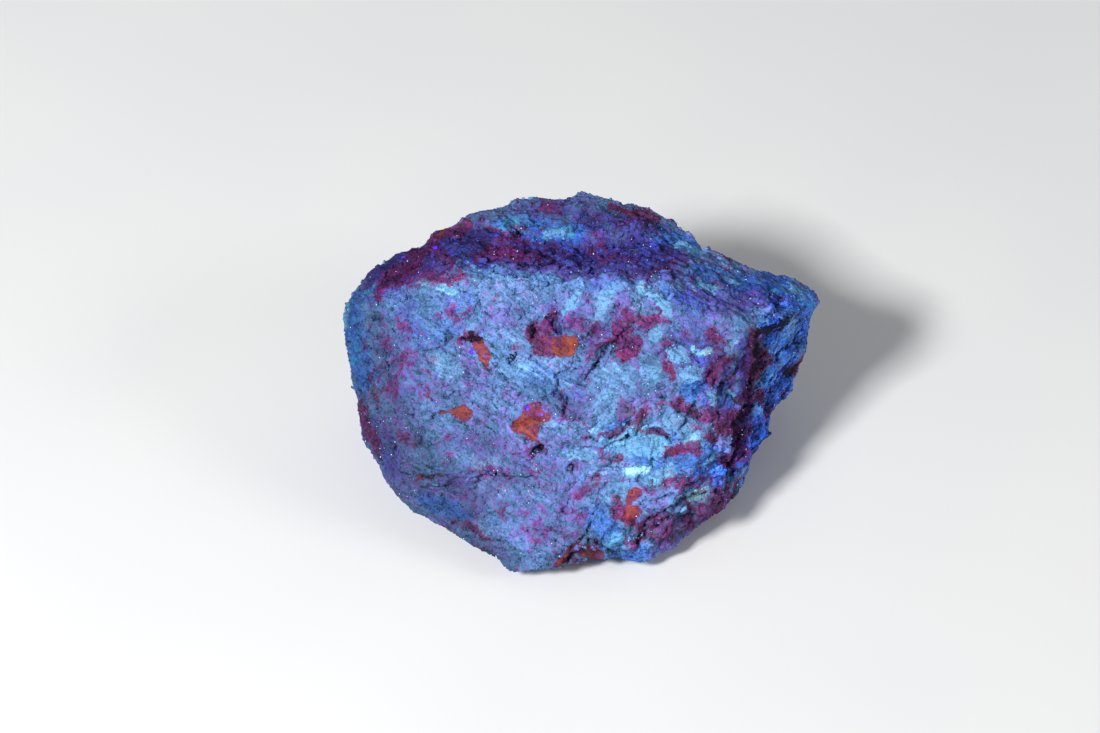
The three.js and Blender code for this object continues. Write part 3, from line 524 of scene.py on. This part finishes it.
def chips(places, size):
    """Flat chips. Space is parted among scattered centres about one size apart, and round each the
    height rises steadily in a direction of its own. Returns the height and a number for each chip."""
    p = places / size
    cell = np.floor(p)
    nearest = np.full(len(p), np.inf)
    height = np.zeros(len(p))
    tone = np.zeros(len(p))
    for offset in np.ndindex(3, 3, 3):
        here = cell + offset - 1
        gap = p - here - three_numbers(here)
        distance = (gap ** 2).sum(-1)
        slope = 2 * three_numbers(here + 101) - 1
        closer = distance < nearest
        height = np.where(closer, (gap * slope).sum(-1), height)
        tone = np.where(closer, slope[..., 0], tone)
        nearest = np.where(closer, distance, nearest)
    return height, tone


def filled_in(line):
    """A line's corners with more filled in, evenly, between each two of them."""
    corners = np.array(line, float)
    points = []
    for start, end in zip(corners[:-1], corners[1:]):
        parts = math.ceil(np.linalg.norm(end - start) / CREASE_SPACING)
        points.append(start + (end - start) * np.arange(parts)[:, None] / parts)
    return np.concatenate([*points, corners[-1:]])


def corner_arms():
    """Every corner of the block, as an arm from its middle."""
    on_seen_side = [*(filled_in(line) for line in CREASES), FRONT_FACE, SHELF, RIGHT_SLOPE, FLANK]
    foot = [(x, y, FOOT_SINK) for x, y in FOOT]
    corners = np.concatenate([*(seen(corners) for corners in on_seen_side), BACK, foot])
    return np.unique(corners - MIDDLE, axis=0)


def block_planes():
    """The block's planes: neighbouring corners, as seen from the middle, joined by triangles. Each
    plane is the inverse of its three arms, which turns a direction into its shares of them."""
    arms = corner_arms()
    hull = bmesh.new()
    for arm in arms:
        hull.verts.new(arm / np.linalg.norm(arm))
    hull.verts.index_update()
    bmesh.ops.convex_hull(hull, input=hull.verts)
    bmesh.ops.triangulate(hull, faces=hull.faces)
    triangles = np.array([[vert.index for vert in face.verts] for face in hull.faces])
    hull.free()
    return np.linalg.inv(arms[triangles].transpose(0, 2, 1))


def reach_along(directions, planes):
    """How far the block's surface is from the middle: one over the sum of a direction's shares of
    three arms, in the triangle where the smallest share is largest."""
    reach = np.empty(len(directions))
    for start in range(0, len(directions), BLOCK_ROWS):
        rows = slice(start, start + BLOCK_ROWS)
        shares = directions[rows] @ planes.transpose(0, 2, 1)
        best = shares.min(-1).argmax(0)
        reach[rows] = 1 / shares[best, np.arange(len(best))].sum(-1)
    return reach


def terraces(height, thickness, sharpness):
    """Steps: within each bed the surface levels out, and it rises at the bed's middle."""
    share = height / thickness - np.floor(height / thickness)
    riser = share ** sharpness / (share ** sharpness + (1 - share) ** sharpness)
    return 0.5 * (riser - share)


def bedded(places, wander):
    """How high a place lies in the stack of beds, with the beds' lean and a wander of their height."""
    across, up, towards = as_seen(places)
    size, height = wander
    return towards + BED_DIP[0] * across + BED_DIP[1] * up + height * noise(places, size)


def beside_line(across, up, line):
    """The signed distance to a line, positive on its left, and the share of the way along it."""
    nearest = np.full(len(across), np.inf)
    signed = np.zeros(len(across))
    place = np.zeros(len(across))
    corners = np.array(line, float)[:, :2]
    for n, (start, step) in enumerate(zip(corners[:-1], np.diff(corners, axis=0))):
        x, y = across - start[0], up - start[1]
        t = np.clip((x * step[0] + y * step[1]) / (step @ step), 0, 1)
        distance = np.hypot(x - t * step[0], y - t * step[1])
        side = np.sign(step[0] * y - step[1] * x)
        closer = distance < nearest
        signed = np.where(closer, side * distance, signed)
        place = np.where(closer, (n + t) / (len(corners) - 1), place)
        nearest = np.where(closer, distance, nearest)
    return signed, place


def ledge_height(across, up, ledge):
    """A ledge's height: it dies away on the left, and is a shallow hollow on the right."""
    drop, reach, *line = ledge
    signed, place = beside_line(across, up, line)
    ends = smooth_between(0, LEDGE_ENDS, place) * smooth_between(0, LEDGE_ENDS, 1 - place)
    left = smooth_between(-LEDGE_SLOPE, LEDGE_SLOPE, signed)
    above = left * np.exp(-np.abs(signed) / reach)
    below = (1 - left) * LEDGE_FOOT[0] * np.exp(-np.abs(signed) / LEDGE_FOOT[1])
    return drop * ends * (above - below)


def in_oval(across, up, place, halves, lean):
    """How far out of a leaning oval a place is: 0 at its middle and 1 on its border."""
    along, beside = turned(across - place[0], up - place[1], lean)
    return np.hypot(along / halves[0], beside / halves[1])


def pit_depth(across, up):
    """The pits' depth: each is half an egg, sunk into the surface."""
    depth = np.zeros(len(across))
    for place, halves, lean in PITS:
        out = in_oval(across, up, place, halves, lean)
        depth += halves[2] * np.sqrt(np.clip(1 - out ** 2, 0, 1))
    return depth


def calm_share(across, up, reach, least):
    """The least share on the outline, as seen, and 1 from the reach inwards."""
    rim = np.abs(beside_line(across, up, OUTLINE)[0])
    return least + (1 - least) * smooth_between(0, reach, rim)


def large_relief(places):
    """The height of lumps, beds, ledges and pits over the block's planes."""
    across, up, towards = as_seen(places)
    lumps = sum(height * noise(places, size) for size, height in LUMPS)
    beds = BED_STEP * terraces(bedded(places, BED_WANDER), BED_THICKNESS, BED_SHARPNESS)
    facing = smooth_between(*LEDGE_DEPTHS, towards)
    ledges = sum(ledge_height(across, up, ledge) for ledge in LEDGES)
    return calm_share(across, up, *CALM) * (lumps + beds) + facing * (ledges - pit_depth(across, up))


def cube_sphere(divisions):
    """Directions over the six faces of a cube, evened out by a tangent and then drawn somewhat to the
    seen side, and the squares between them."""
    line = np.tan(np.linspace(-1, 1, divisions + 1) * math.pi / 4)
    a, b = np.meshgrid(line, line, indexing="ij")
    one = np.ones_like(a)
    sides = [(one, a, b), (-one, b, a), (b, one, a), (a, -one, b), (a, b, one), (b, a, -one)]
    points = np.concatenate([np.stack(side, axis=-1).reshape(-1, 3) for side in sides])
    points, merged = np.unique(points.round(9), axis=0, return_inverse=True)
    numbers = merged.reshape(6, divisions + 1, divisions + 1)
    squares = [numbers[:, :-1, :-1], numbers[:, 1:, :-1], numbers[:, 1:, 1:], numbers[:, :-1, 1:]]
    drawn = unit(points) + SEEN_SIDE_DENSER * seen([(0, 0, 1)])
    return unit(drawn), np.stack(squares, axis=-1).reshape(-1, 4)


def normals_of(points, squares):
    """The outward direction at each point: the sum of its squares' crossed diagonals."""
    a, b, c, d = points[squares].transpose(1, 0, 2)
    crossed = np.cross(c - a, d - b)
    total = np.zeros_like(points)
    for corner in squares.T:
        np.add.at(total, corner, crossed)
    return unit(total)


def ribs(places, lean):
    """Sharp-crested ribs that lean across the picture: noise stretched along them and folded over."""
    across, up, towards = as_seen(places)
    along, beside = turned(across, up, lean)
    beside = beside - RIB_DIP * towards
    height = np.zeros(len(places))
    for length, width, rise in RIB_SIZES:
        stretched = np.stack([along / length, beside / width, towards / length], axis=-1)
        height += rise * (0.5 - np.abs(noise(stretched + lean, 1.0)))
    return height


def ribbed(places, facing):
    """The ribs of all the zones."""
    across, up, _ = as_seen(places)
    hidden_lean, hidden_height = HIDDEN_RIBS
    height = (1 - facing) * hidden_height * ribs(places, hidden_lean)
    for half_width, lean, rise, *line in RIB_ZONES:
        signed, _ = beside_line(across, up, line)
        share = facing * smooth_between(*RIB_BORDER, np.abs(signed) / half_width)
        near = share > 0
        height[near] += share[near] * rise * ribs(places[near], lean)
    return height


def fine_relief(places, facing, tones):
    """The height of chips, crumbs, thin plates and ribs, less the cracks, and each chip's own tone
    from -1 to 1. It is higher where the stone is rough, and lower on flakes and in calm places."""
    height = np.zeros(len(places))
    chip_tones = []
    for size, rise in CHIPS:
        chip, tone = chips(places, size)
        height += rise * chip
        chip_tones.append(tone)
    height += sum(rise * noise(places, size) for size, rise in CRUMBS)
    plates = terraces(bedded(places, PLATE_WANDER), PLATE_THICKNESS, PLATE_SHARPNESS)
    height += PLATE_STEP * plates
    height *= 1 + ROUGHER * tones["rough"]
    height += ribbed(places, facing)
    height *= 1 - FLAKE_CALM * np.maximum(tones["orange"], tones["calm"])
    across, up, _ = as_seen(places)
    height *= calm_share(across, up, *FINE_CALM)
    return height - CRACK_DEPTH * tones["dark"] * (1 - tones["calm"]), chip_tones[1]


def hidden_strength(places, shift, least):
    """Patches for the sides that the photograph doesn't show: wherever large noise is above a level."""
    broad, ragged = (noise(places + shift, size) for size in HIDDEN_SIZES)
    return HIDDEN_SHARE * smooth_between(least, least + HIDDEN_BORDER, broad + HIDDEN_RAGGED * ragged)


def facing_eye(places, normals):
    """1 on the side that the photograph shows, 0 on the hidden ones."""
    slope, depth = as_seen(normals)[2], as_seen(places)[2]
    return smooth_between(*STROKE_SLOPES, slope) * smooth_between(*STROKE_DEPTHS, depth)


def warped(places, warp):
    """Where places are seen across and up, moved about by noise."""
    across, up, _ = as_seen(places)
    for size, height in warp:
        across = across + height * noise(places + 50, size)
        up = up + height * noise(places - 50, size)
    return across, up


def facet_strength(across, up, corners):
    """1 inside a convex outline with straight sides, 0 outside, and a smooth step at its border."""
    start = np.array(corners, float)
    side = np.roll(start, -1, axis=0) - start
    inwards = np.sign(np.sum(start[:, 0] * side[:, 1] - start[:, 1] * side[:, 0]))
    depth = np.full(len(across), np.inf)
    for (x, y), (along, above) in zip(start, side):
        beside = (along * (up - y) - above * (across - x)) / math.hypot(along, above)
        depth = np.minimum(depth, inwards * beside)
    return smooth_between(-FACET_BORDER, FACET_BORDER, depth)


def facets_of(kind):
    """The flat faces that carry a kind of stroke, and how strongly. All kinds can be calm."""
    if kind == "calm":
        return [(calm, corners) for facets in FACETS.values() for _, calm, *corners in facets]
    return [(full, corners) for full, _, *corners in FACETS.get(kind, [])]


def stroke_strength(places, facing, kind, strokes, shift, least, warp=STROKE_WARP):
    """How strongly a kind of stroke colours a place: full along its line, half on its border, which
    wanders. Sides that aren't seen get patches of noise instead."""
    across, up = warped(places, warp)
    strength = np.zeros(len(places))
    for half_width, full, *line in strokes:
        signed, _ = beside_line(across, up, line)
        share = smooth_between(*STROKE_BORDER, np.abs(signed) / half_width)
        strength = np.maximum(strength, full * share)
    across, up = warped(places, CRACK_WARP)
    for full, corners in facets_of(kind):
        strength = np.maximum(strength, full * facet_strength(across, up, corners))
    return facing * strength + (1 - facing) * hidden_strength(places, shift, least)


def placed(name, data):
    """A new object in the scene, for a mesh, a camera or a light."""
    thing = bpy.data.objects.new(name, data)
    bpy.context.scene.collection.objects.link(thing)
    return thing


def new_piece(name, points, faces, tones):
    """A closed mesh of equal-sided faces in the part's place, with a number per point for each tone."""
    mesh = bpy.data.meshes.new(name)
    mesh.vertices.add(len(points))
    mesh.vertices.foreach_set("co", (points * MM).astype(np.float32).ravel())
    mesh.loops.add(faces.size)
    mesh.loops.foreach_set("vertex_index", faces.astype(np.int32).ravel())
    mesh.polygons.add(len(faces))
    mesh.polygons.foreach_set("loop_start", np.arange(0, faces.size, faces.shape[1], dtype=np.int32))
    mesh.update(calc_edges=True)
    for tone, values in tones.items():
        attribute = mesh.attributes.new(tone, "FLOAT", "POINT")
        attribute.data.foreach_set("value", values.astype(np.float32))
    return placed(name, mesh)


def stone_surface():
    """The stone's points, squares, outward directions and tones."""
    directions, squares = cube_sphere(STONE_GRID)
    block = MIDDLE + directions * reach_along(directions, block_planes())[:, None]
    lumpy = block + directions * large_relief(block)[:, None]
    normals = normals_of(lumpy, squares)
    facing = facing_eye(lumpy, normals)
    tones = {kind: stroke_strength(lumpy, facing, kind, *how) for kind, how in STROKES.items()}
    height, tones["chip"] = fine_relief(lumpy, facing, tones)
    tones["height"] = height
    across, up, towards = as_seen(lumpy)
    # Painted shade in the pits
    pit_shade = np.clip(pit_depth(across, up) / PIT_DARK, 0, 1) * smooth_between(*STROKE_DEPTHS, towards)
    tones["dark"] = np.maximum(tones["dark"], pit_shade)
    points = lumpy + normals * height[:, None]
    on_foot = points[:, 2] < 0
    size, depth = FOOT_HOLLOWS
    points[on_foot, 2] = depth * np.clip(noise(points[on_foot], size), 0, 1)
    return points, squares, normals_of(points, squares), tones


def scattered(surface, kind, seed):
    """Flat four-cornered chips, half sunk in the surface at random places. Each leans a little, and
    takes its tones from the point beside it."""
    points, squares, normals, tones = surface
    count, usual, spread, (least, most) = kind
    random = np.random.default_rng(seed)
    a, b, c, d = points[squares].transpose(1, 0, 2)
    area = np.linalg.norm(np.cross(c - a, d - b), axis=1)
    area *= 1 - CHIPS_OFF_FLAKES * np.clip(tones["orange"][squares[:, 0]], 0, 1)
    area *= points[squares[:, 0], 2] > most
    host = random.choice(len(squares), count, p=area / area.sum())
    s, t = random.random((2, count, 1))
    place = (1 - s) * ((1 - t) * a[host] + t * d[host]) + s * ((1 - t) * b[host] + t * c[host])
    host = squares[host, 0]

    outward = unit(normals[host] + CHIP_TILT * random.standard_normal((count, 3)))
    along = unit(np.cross(outward, random.standard_normal((count, 3))))
    beside = np.cross(outward, along)
    size = np.clip(usual * np.exp(spread * random.standard_normal(count)), least, most)
    turns = (np.arange(4) + 0.5 + CHIP_SKEW * random.uniform(-1, 1, (count, 4))) * math.pi / 2
    reach = 0.5 * size[:, None] * random.uniform(*CHIP_REACHES, (count, 4))
    flat = (
        np.cos(turns)[..., None] * along[:, None] * random.uniform(*CHIP_LENGTHS, (count, 1, 1))
        + np.sin(turns)[..., None] * beside[:, None]
    ) * reach[..., None]
    thickness = (CHIP_THICKNESS * size)[:, None, None] * outward[:, None]
    top = place[:, None] + CHIP_TOP * flat + CHIP_STANDS_OUT * thickness
    bottom = place[:, None] + flat - (1 - CHIP_STANDS_OUT) * thickness
    corners = np.concatenate([top, bottom], axis=1).reshape(-1, 3)
    faces = (np.arange(count)[:, None, None] * 8 + CHIP_FACES).reshape(-1, 4)

    own = {tone: values[host] for tone, values in tones.items()}
    own["chip"] = random.uniform(-1, 1, count)
    own["dark"] = CHIP_DARK * own["dark"] * (1 + own["calm"])
    return corners, faces, {tone: np.repeat(values, 8) for tone, values in own.items()}


class Socket:
    """One output of a shader node. Sums written on it add Math nodes."""

    def __init__(self, paint, output):
        self.paint = paint
        self.output = output

    def maths(self, operation, *values):
        return self.paint.add("ShaderNodeMath", {"operation": operation}, dict(enumerate(values)))

    def __add__(self, other):
        return self.maths("ADD", self, other)

    __radd__ = __add__

    def __mul__(self, other):
        return self.maths("MULTIPLY", self, other)

    __rmul__ = __mul__

    def __sub__(self, other):
        return self.maths("SUBTRACT", self, other)

    def __rsub__(self, other):
        return self.maths("SUBTRACT", other, self)

    def __gt__(self, other):
        return self.maths("GREATER_THAN", self, other)

    def __lt__(self, other):
        return self.maths("LESS_THAN", self, other)

    def or_more(self, other):
        return self.maths("MAXIMUM", self, other)

    def between(self, low, high):
        """0 below low, 1 above high, and a smooth step in between."""
        settings = {"interpolation_type": "SMOOTHSTEP"}
        return self.paint.add("ShaderNodeMapRange", settings, {0: self, 1: low, 2: high})


class Paint:
    """A material, built from its nodes."""

    def __init__(self, name):
        self.material = bpy.data.materials.new(name)
        self.material.use_nodes = True
        self.tree = self.material.node_tree
        self.tree.nodes.clear()

    def add(self, kind, settings=None, inputs=None, output=0):
        """Adds a node with its settings, then the values or links of its sockets."""
        node = self.tree.nodes.new(kind)
        for name, value in (settings or {}).items():
            setattr(node, name, value)
        for name, value in (inputs or {}).items():
            if isinstance(value, Socket):
                self.tree.links.new(value.output, node.inputs[name])
            else:
                node.inputs[name].default_value = value
        return Socket(self, node.outputs[output]) if node.outputs else None

    def tone(self, name):
        """A number that the mesh carries at each point."""
        return self.add("ShaderNodeAttribute", {"attribute_name": name}, output="Fac")

    def places(self):
        """The object's own coordinates, in millimetres."""
        metres = self.add("ShaderNodeTexCoord", output="Object")
        settings = {"operation": "SCALE"}
        return self.add("ShaderNodeVectorMath", settings, {0: metres, "Scale": 1 / MM})

    def stretched(self, places, sizes, lean):
        """Places squeezed by a size along each of the picture's directions, with the first leaning."""
        right, up, towards = seen([(1, 0, 0), (0, 1, 0), (0, 0, 1)])
        settings = {"operation": "DOT_PRODUCT"}
        parts = [
            self.add("ShaderNodeVectorMath", settings, {0: places, 1: tuple(axis)}, "Value") * (1 / size)
            for axis, size in zip((*turned(right, up, lean), towards), sizes)
        ]
        return self.add("ShaderNodeCombineXYZ", None, dict(enumerate(parts)))

    def clouds(self, places, size, detail=3.0, roughness=0.55):
        """Soft noise in features of about one size, mostly from -1 to 1."""
        inputs = {"Vector": places, "Scale": 1 / size, "Detail": detail, "Roughness": roughness}
        return 4.5 * (self.add("ShaderNodeTexNoise", None, inputs) - 0.5)

    def wandering(self, places, size, height):
        """Places moved about by soft noise, so that what is laid on them bends."""
        inputs = {"Vector": places, "Scale": 1 / size, "Detail": 2.0}
        cloud = self.add("ShaderNodeTexNoise", None, inputs, "Color")
        centred = self.add("ShaderNodeVectorMath", {"operation": "SUBTRACT"}, {0: cloud, 1: (0.5,) * 3})
        moved = {0: centred, 1: (2 * height,) * 3, 2: places}
        return self.add("ShaderNodeVectorMath", {"operation": "MULTIPLY_ADD"}, moved)

    def grains(self, places, size, output="Distance"):
        """Cells about one size across: the distance from their middle, or a colour of their own."""
        return self.add("ShaderNodeTexVoronoi", None, {"Vector": places, "Scale": 1 / size}, output)

    def first_part(self, colour):
        """The red part of a random colour, as a random number from 0 to 1."""
        return self.add("ShaderNodeSeparateColor", None, {0: colour})

    def shaded(self, colour, brightness):
        """A colour made lighter or darker."""
        return self.add("ShaderNodeVectorMath", {"operation": "SCALE"}, {0: colour, "Scale": brightness})

    def mix(self, share, first, second, blend="MIX"):
        """The first colour blended into the second."""
        settings = {"data_type": "RGBA", "blend_type": blend}
        return self.add("ShaderNodeMix", settings, {0: share, 6: first, 7: second}, output=2)

    def finished(self, inputs):
        """The material, with one shader all over."""
        shader = self.add("ShaderNodeBsdfPrincipled", None, inputs)
        self.add("ShaderNodeOutputMaterial", None, {"Surface": shader})
        return self.material


def colour(red, green, blue):
    """A colour given as it looks on a screen, from 0 to 255, in the shader's linear values."""
    parts = np.array([red, green, blue]) / 255
    linear = np.where(parts <= 0.04045, parts / 12.92, ((parts + 0.055) / 1.055) ** 2.4)
    return (*linear, 1.0)


GREY_TEAL = colour(90, 132, 182)
LAVENDER = colour(104, 94, 166)
PURPLE = colour(64, 39, 128)
CLEAR_BLUE = colour(30, 90, 212)
TEAL = colour(30, 150, 178)
PALE_BLUE = colour(110, 172, 216)
ICE = colour(176, 234, 252)
MAROON = colour(42, 10, 44)
MAGENTA = colour(130, 26, 84)
ROSE = colour(100, 50, 118)
ORANGE = colour(142, 66, 40)
BRICK = colour(108, 30, 70)
VIOLET = colour(84, 40, 232)
# Cracks and painted shadows
CRACK_AND_SHADOW = colour(12, 5, 20)
# Fine dark lines, and painted shade in low places and between ribs
LINE_AND_HOLLOW_SHADE = colour(24, 24, 78)
# The grain's streaks: their lean from level in degrees, as seen, and their length, width and depth
STREAKS = {
    "front": (-32, (4.4, 0.95, 1.8)),
    "flank": (54, (6.0, 1.7, 3.0)),
    "rising": (26, (3.6, 1.0, 1.8)),
}


def stone_paint():
    """Sugary feldspar with its red stains, orange flakes, pale chips and cracks, and painted light:
    highlights, glints that glow, and shade in recesses, pits, shadows and shaded zones.
    """
    paint = Paint("pegmatite_stone")
    # The grain: places that bend and lean, and noise and cells by their size in millimetres
    places = paint.places()
    bent = paint.wandering(paint.wandering(places, 26.0, 7.0), 3.0, 0.7)
    along = {zone: paint.stretched(bent, sizes, lean) for zone, (lean, sizes) in STREAKS.items()}
    laid = paint.mix(paint.tone("rising").between(0.4, 0.6), along["front"], along["rising"])
    laid = paint.mix(paint.tone("flank").between(0.4, 0.6), laid, along["flank"])
    streaks = paint.clouds(laid, 0.9, 2.0, 0.5)
    broad = paint.clouds(places, 10.0, 3.0)
    patches = paint.clouds(bent, 3.4, 5.0, 0.62)
    fine = paint.clouds(places, 0.7, 2.0, 0.5)
    faces = 2 * paint.clouds(bent, 2.2, 3.0).between(0.1, 0.35) - 1
    sugar = 2 * paint.first_part(paint.grains(places, 0.42, "Color")) - 1
    flat = 2 * paint.first_part(paint.grains(laid, 0.7, "Color")) - 1
    # The strokes' strengths
    cool_and_rim_light = paint.tone("cool_and_rim_light")
    purple = paint.tone("purple")
    orange = paint.tone("orange")
    flank = paint.tone("flank")
    chip = paint.tone("chip")
    height = paint.tone("height")
    mottled = (1 - 0.8 * paint.tone("calm")) * (1 - 0.35 * purple)

    # Feldspar, from grey-teal over lavender to purple and clear blue
    warmth = 0.25 * broad + 0.3 * patches + 0.2 * sugar + 0.25 * flat + 0.35 * purple - 0.35 * cool_and_rim_light
    feldspar = paint.mix(warmth.between(-0.2, 0.45), GREY_TEAL, LAVENDER)
    purpled = (purple + 0.3 * streaks + 0.25 * patches).between(0.2, 1.0) * 0.85
    feldspar = paint.mix(purpled, feldspar, PURPLE)
    blue = (cool_and_rim_light + 0.35 * patches).between(0.2, 1.1) * (0.7 + 0.2 * flank)
    blue = blue.or_more((flat + fine + 0.5 * sugar).between(0.3, 1.0) * purple * 0.7)
    feldspar = paint.mix(blue, feldspar, CLEAR_BLUE)

    # Pale cleavage faces and painted highlights
    bright = paint.tone("bright")
    pale_and_highlight_field = bright + 0.12 * fine + 0.1 * streaks + 0.1 * flat + 0.3 * patches
    surface = paint.mix(pale_and_highlight_field.between(0.15, 0.65) * (0.75 - 0.3 * flank), feldspar, PALE_BLUE)
    surface = paint.mix(pale_and_highlight_field.between(0.78, 1.35) * 0.9, surface, ICE)
    teal = (cool_and_rim_light + 0.6 * patches + 0.3 * flat - 0.5 * flank).between(0.9, 1.2) * 0.65
    surface = paint.mix(teal, surface, TEAL)

    # Red stains and flecks
    spots = paint.clouds(bent, 5.2, 5.0, 0.65).between(0.0, 0.9) * 0.45
    red_field = paint.tone("red") * 0.9 + 0.5 * orange + spots - 0.05 * purple
    red_field = red_field + (0.45 * patches + 0.25 * fine + 0.15 * flat) * mottled
    reds = paint.mix((fine + 0.6 * streaks).between(-0.95, 0.5), MAROON, MAGENTA)
    reds = paint.mix((0.5 * sugar + patches).between(-0.3, 0.9) * 0.7, reds, ROSE)
    surface = paint.mix(red_field.between(0.17, 0.72) * (0.88 - 0.15 * purple), surface, reds)
    flecks = (0.5 * patches + 0.5 * fine + 0.5 * sugar).between(0.7, 0.85) * 0.55
    surface = paint.mix(flecks * mottled, surface, reds)

    # Orange flakes
    orange_share = (orange + 0.25 * patches + 0.25 * fine).between(0.36, 0.78)
    oranges = (2.2 * orange + 1.6 * patches + 0.8 * fine + 0.6 * flat).between(1.4, 3.1)
    oranges = paint.mix(oranges, BRICK, ORANGE)
    surface = paint.mix(orange_share * 0.92, surface, oranges)

    # Each grain a little lighter or darker, with painted shade: high places lighter and low places
    # darker, more so on the flank's ribs, and darker still over the shaded zones
    shade = 0.12 * streaks + 0.12 * fine + 0.12 * patches + 0.1 * faces
    shade = shade + 0.48 * sugar * sugar * sugar + 0.36 * flat * flat * flat + 0.08 * flat
    shade = shade + 0.18 * chip + 0.22 * height
    shade = shade * (1 + 1.3 * flank) * (1 - 0.4 * orange_share)
    shade = shade * (1 - 0.4 * bright) * (0.5 + 0.5 * mottled)
    surface = paint.shaded(surface, (1 + shade).or_more(0.15) * (1 - 0.56 * paint.tone("painted_shade")))

    # Fine dark lines, painted shade in low places and between the flank's ribs, then the deep cracks and
    # painted shadows
    lines = paint.clouds(laid, 2.6, 5.0, 0.62)
    lines = (lines * lines).between(0.006, 0.0) * paint.clouds(bent, 5.0).between(0.3, 0.9) * 0.5
    slit_shade = (0.65 * flank - streaks - 0.5 * fine).between(0.9, 1.4) * (0.5 + 0.45 * flank)
    hollow_shade = (0.25 * fine + 0.25 * streaks - height).between(0.8, 1.6) * (0.45 - 0.22 * purple)
    crack_and_shadow_field = (paint.tone("dark") + 0.2 * fine + 0.2 * streaks).between(0.4, 0.7) * 0.96
    surface = paint.mix(lines.or_more(slit_shade).or_more(hollow_shade), surface, LINE_AND_HOLLOW_SHADE)
    surface = paint.mix(crack_and_shadow_field, surface, CRACK_AND_SHADOW)

    # Small glints: painted highlights that glow
    speck = paint.first_part(paint.grains(places, 0.95, "Color"))
    glint = (speck + 0.08 * purple > 0.88) * (paint.grains(places, 0.95) < 0.14)
    violet = (paint.tone("violet") + 0.3 * fine).between(0.4, 0.8)
    glint = glint.or_more(violet)
    glint_tint = paint.mix((speck > 0.94).or_more(violet > 0), ICE, VIOLET)
    surface = paint.mix(glint, surface, glint_tint)

    # The finest grain's relief
    grit = 0.6 * fine + 0.4 * streaks + 0.4 * flat + 0.3 * sugar
    relief = {"Strength": 0.4, "Distance": 0.16 * MM, "Height": grit}
    bump = paint.add("ShaderNodeBump", None, relief, "Normal")
    return paint.finished({
        "Base Color": surface,
        "Roughness": 0.66 - 0.4 * glint - 0.1 * orange_share,
        "Normal": bump,
        "Specular IOR Level": 0.15,
        "Emission Color": paint.shaded(glint_tint, glint),
        "Emission Strength": 0.35,
    })


def floor_paint():
    """A plain pale surface with a barely seen unevenness."""
    paint = Paint("pale_floor")
    cloudy = paint.clouds(paint.places(), 90.0, 1.0).between(-1, 1)
    tint = paint.mix(cloudy, colour(217, 217, 218), colour(220, 220, 219))
    return paint.finished({"Base Color": tint, "Roughness": 0.7})


def make_stone():
    """The stone in place of the CAD node, and its loose chips. Returns how the picture's own frame is
    moved and scaled into the part's, which fits the stone in the CAD model's box. Chips that would
    stick out of that box end on it."""
    surface = stone_surface()
    points, squares, _, tones = surface
    low, high = points.min(0), points.max(0)
    box_low, box_high = np.array(cad_low) / MM, np.array(cad_high) / MM
    inner_low = box_low + (BOX_MARGIN, BOX_MARGIN, 0)
    inner_high = box_high - BOX_MARGIN
    scale = (inner_high - inner_low) / (high - low)
    shift = inner_low - low * scale
    paint = stone_paint()
    meshes = {
        "pegmatite_stone": (points, squares, tones),
        "cleavage_chips": scattered(surface, CLEAVAGE_CHIPS, 1),
        "sugar_grains": scattered(surface, CRUMB_CHIPS, 2),
        "sugar_grains_more": scattered(surface, CRUMB_CHIPS, 3),
    }
    for name, (corners, faces, own_tones) in meshes.items():
        corners = np.clip(corners * scale + shift, box_low, box_high)
        piece = new_piece(name, corners, faces, own_tones)
        piece.data.materials.append(paint)
        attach(piece, "root")
        if name == "pegmatite_stone":
            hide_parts(NODE)
    return scale, shift


# The stage, in metres: the camera's lens, and the place in the picture's frame that it is aimed at
LENS = 180.0
SENSOR = 36.0
IMAGE_WIDTH = 1100  # pixels
SCALE = 4.0  # pixels a millimetre at the outline's depth
AIM = (-8.0, 51.2, -6.0)
CLIP_START = 0.05
FLOOR_SIZE = 4.0
LIT_PLACE = np.array([0, 0, 0.03])
LIGHTS = {  # the aim across, up and towards the eye, the distance, size and power
    "key": ((-0.5, 0.1, 0.86), 1.2, 0.22, 19),
    "fill": ((0.85, 0.1, 0.5), 1.3, 0.5, 5),
    "top": ((0.1, 0.9, 0.3), 1.4, 1.0, 1),
    "back": ((0.2, 0.5, -0.9), 1.6, 1.0, 5),
}
SURROUND = (0.94, 0.96, 1.0, 1)
SURROUND_STRENGTH = 0.22


def look_at(thing, target):
    """Turns a camera or light so that it faces a point."""
    away = np.array(thing.location) - target
    thing.rotation_mode = "QUATERNION"
    thing.rotation_quaternion = Vector(away).to_track_quat("Z", "Y")


def make_camera(scale, shift):
    """A long lens at the photograph's height above the table, square to the broad face."""
    target = (seen([AIM])[0] * scale + shift) * MM
    distance = IMAGE_WIDTH / SCALE / SENSOR * LENS * MM
    data = bpy.data.cameras.new("camera")
    data.lens = LENS
    data.sensor_width = SENSOR
    data.clip_start = CLIP_START
    camera = placed("camera", data)
    camera.location = target + seen([(0, 0, 1)])[0] * distance
    look_at(camera, target)
    bpy.context.scene.camera = camera


def make_light(name, aim, distance, size, power):
    """A square soft light that faces the stone. Its aim is stated across, up and towards the eye."""
    data = bpy.data.lights.new(name, "AREA")
    data.size = size
    data.energy = power
    light = placed(name, data)
    light.location = LIT_PLACE + unit(seen([aim]))[0] * distance
    look_at(light, LIT_PLACE)


def make_stage():
    """The floor, four soft lights and a pale surround."""
    corners = np.array([(-1, -1, 0), (1, -1, 0), (1, 1, 0), (-1, 1, 0)]) * FLOOR_SIZE / 2 / MM
    floor = new_piece("floor", corners, np.array([[0, 1, 2, 3]]), {})
    floor.data.materials.append(floor_paint())
    for name, light in LIGHTS.items():
        make_light(name, *light)
    world = bpy.data.worlds.new("surround")
    world.use_nodes = True
    background = world.node_tree.nodes["Background"]
    background.inputs["Color"].default_value = SURROUND
    background.inputs["Strength"].default_value = SURROUND_STRENGTH
    bpy.context.scene.world = world
    bpy.context.scene.view_settings.view_transform = "Standard"


make_camera(*make_stone())
make_stage()
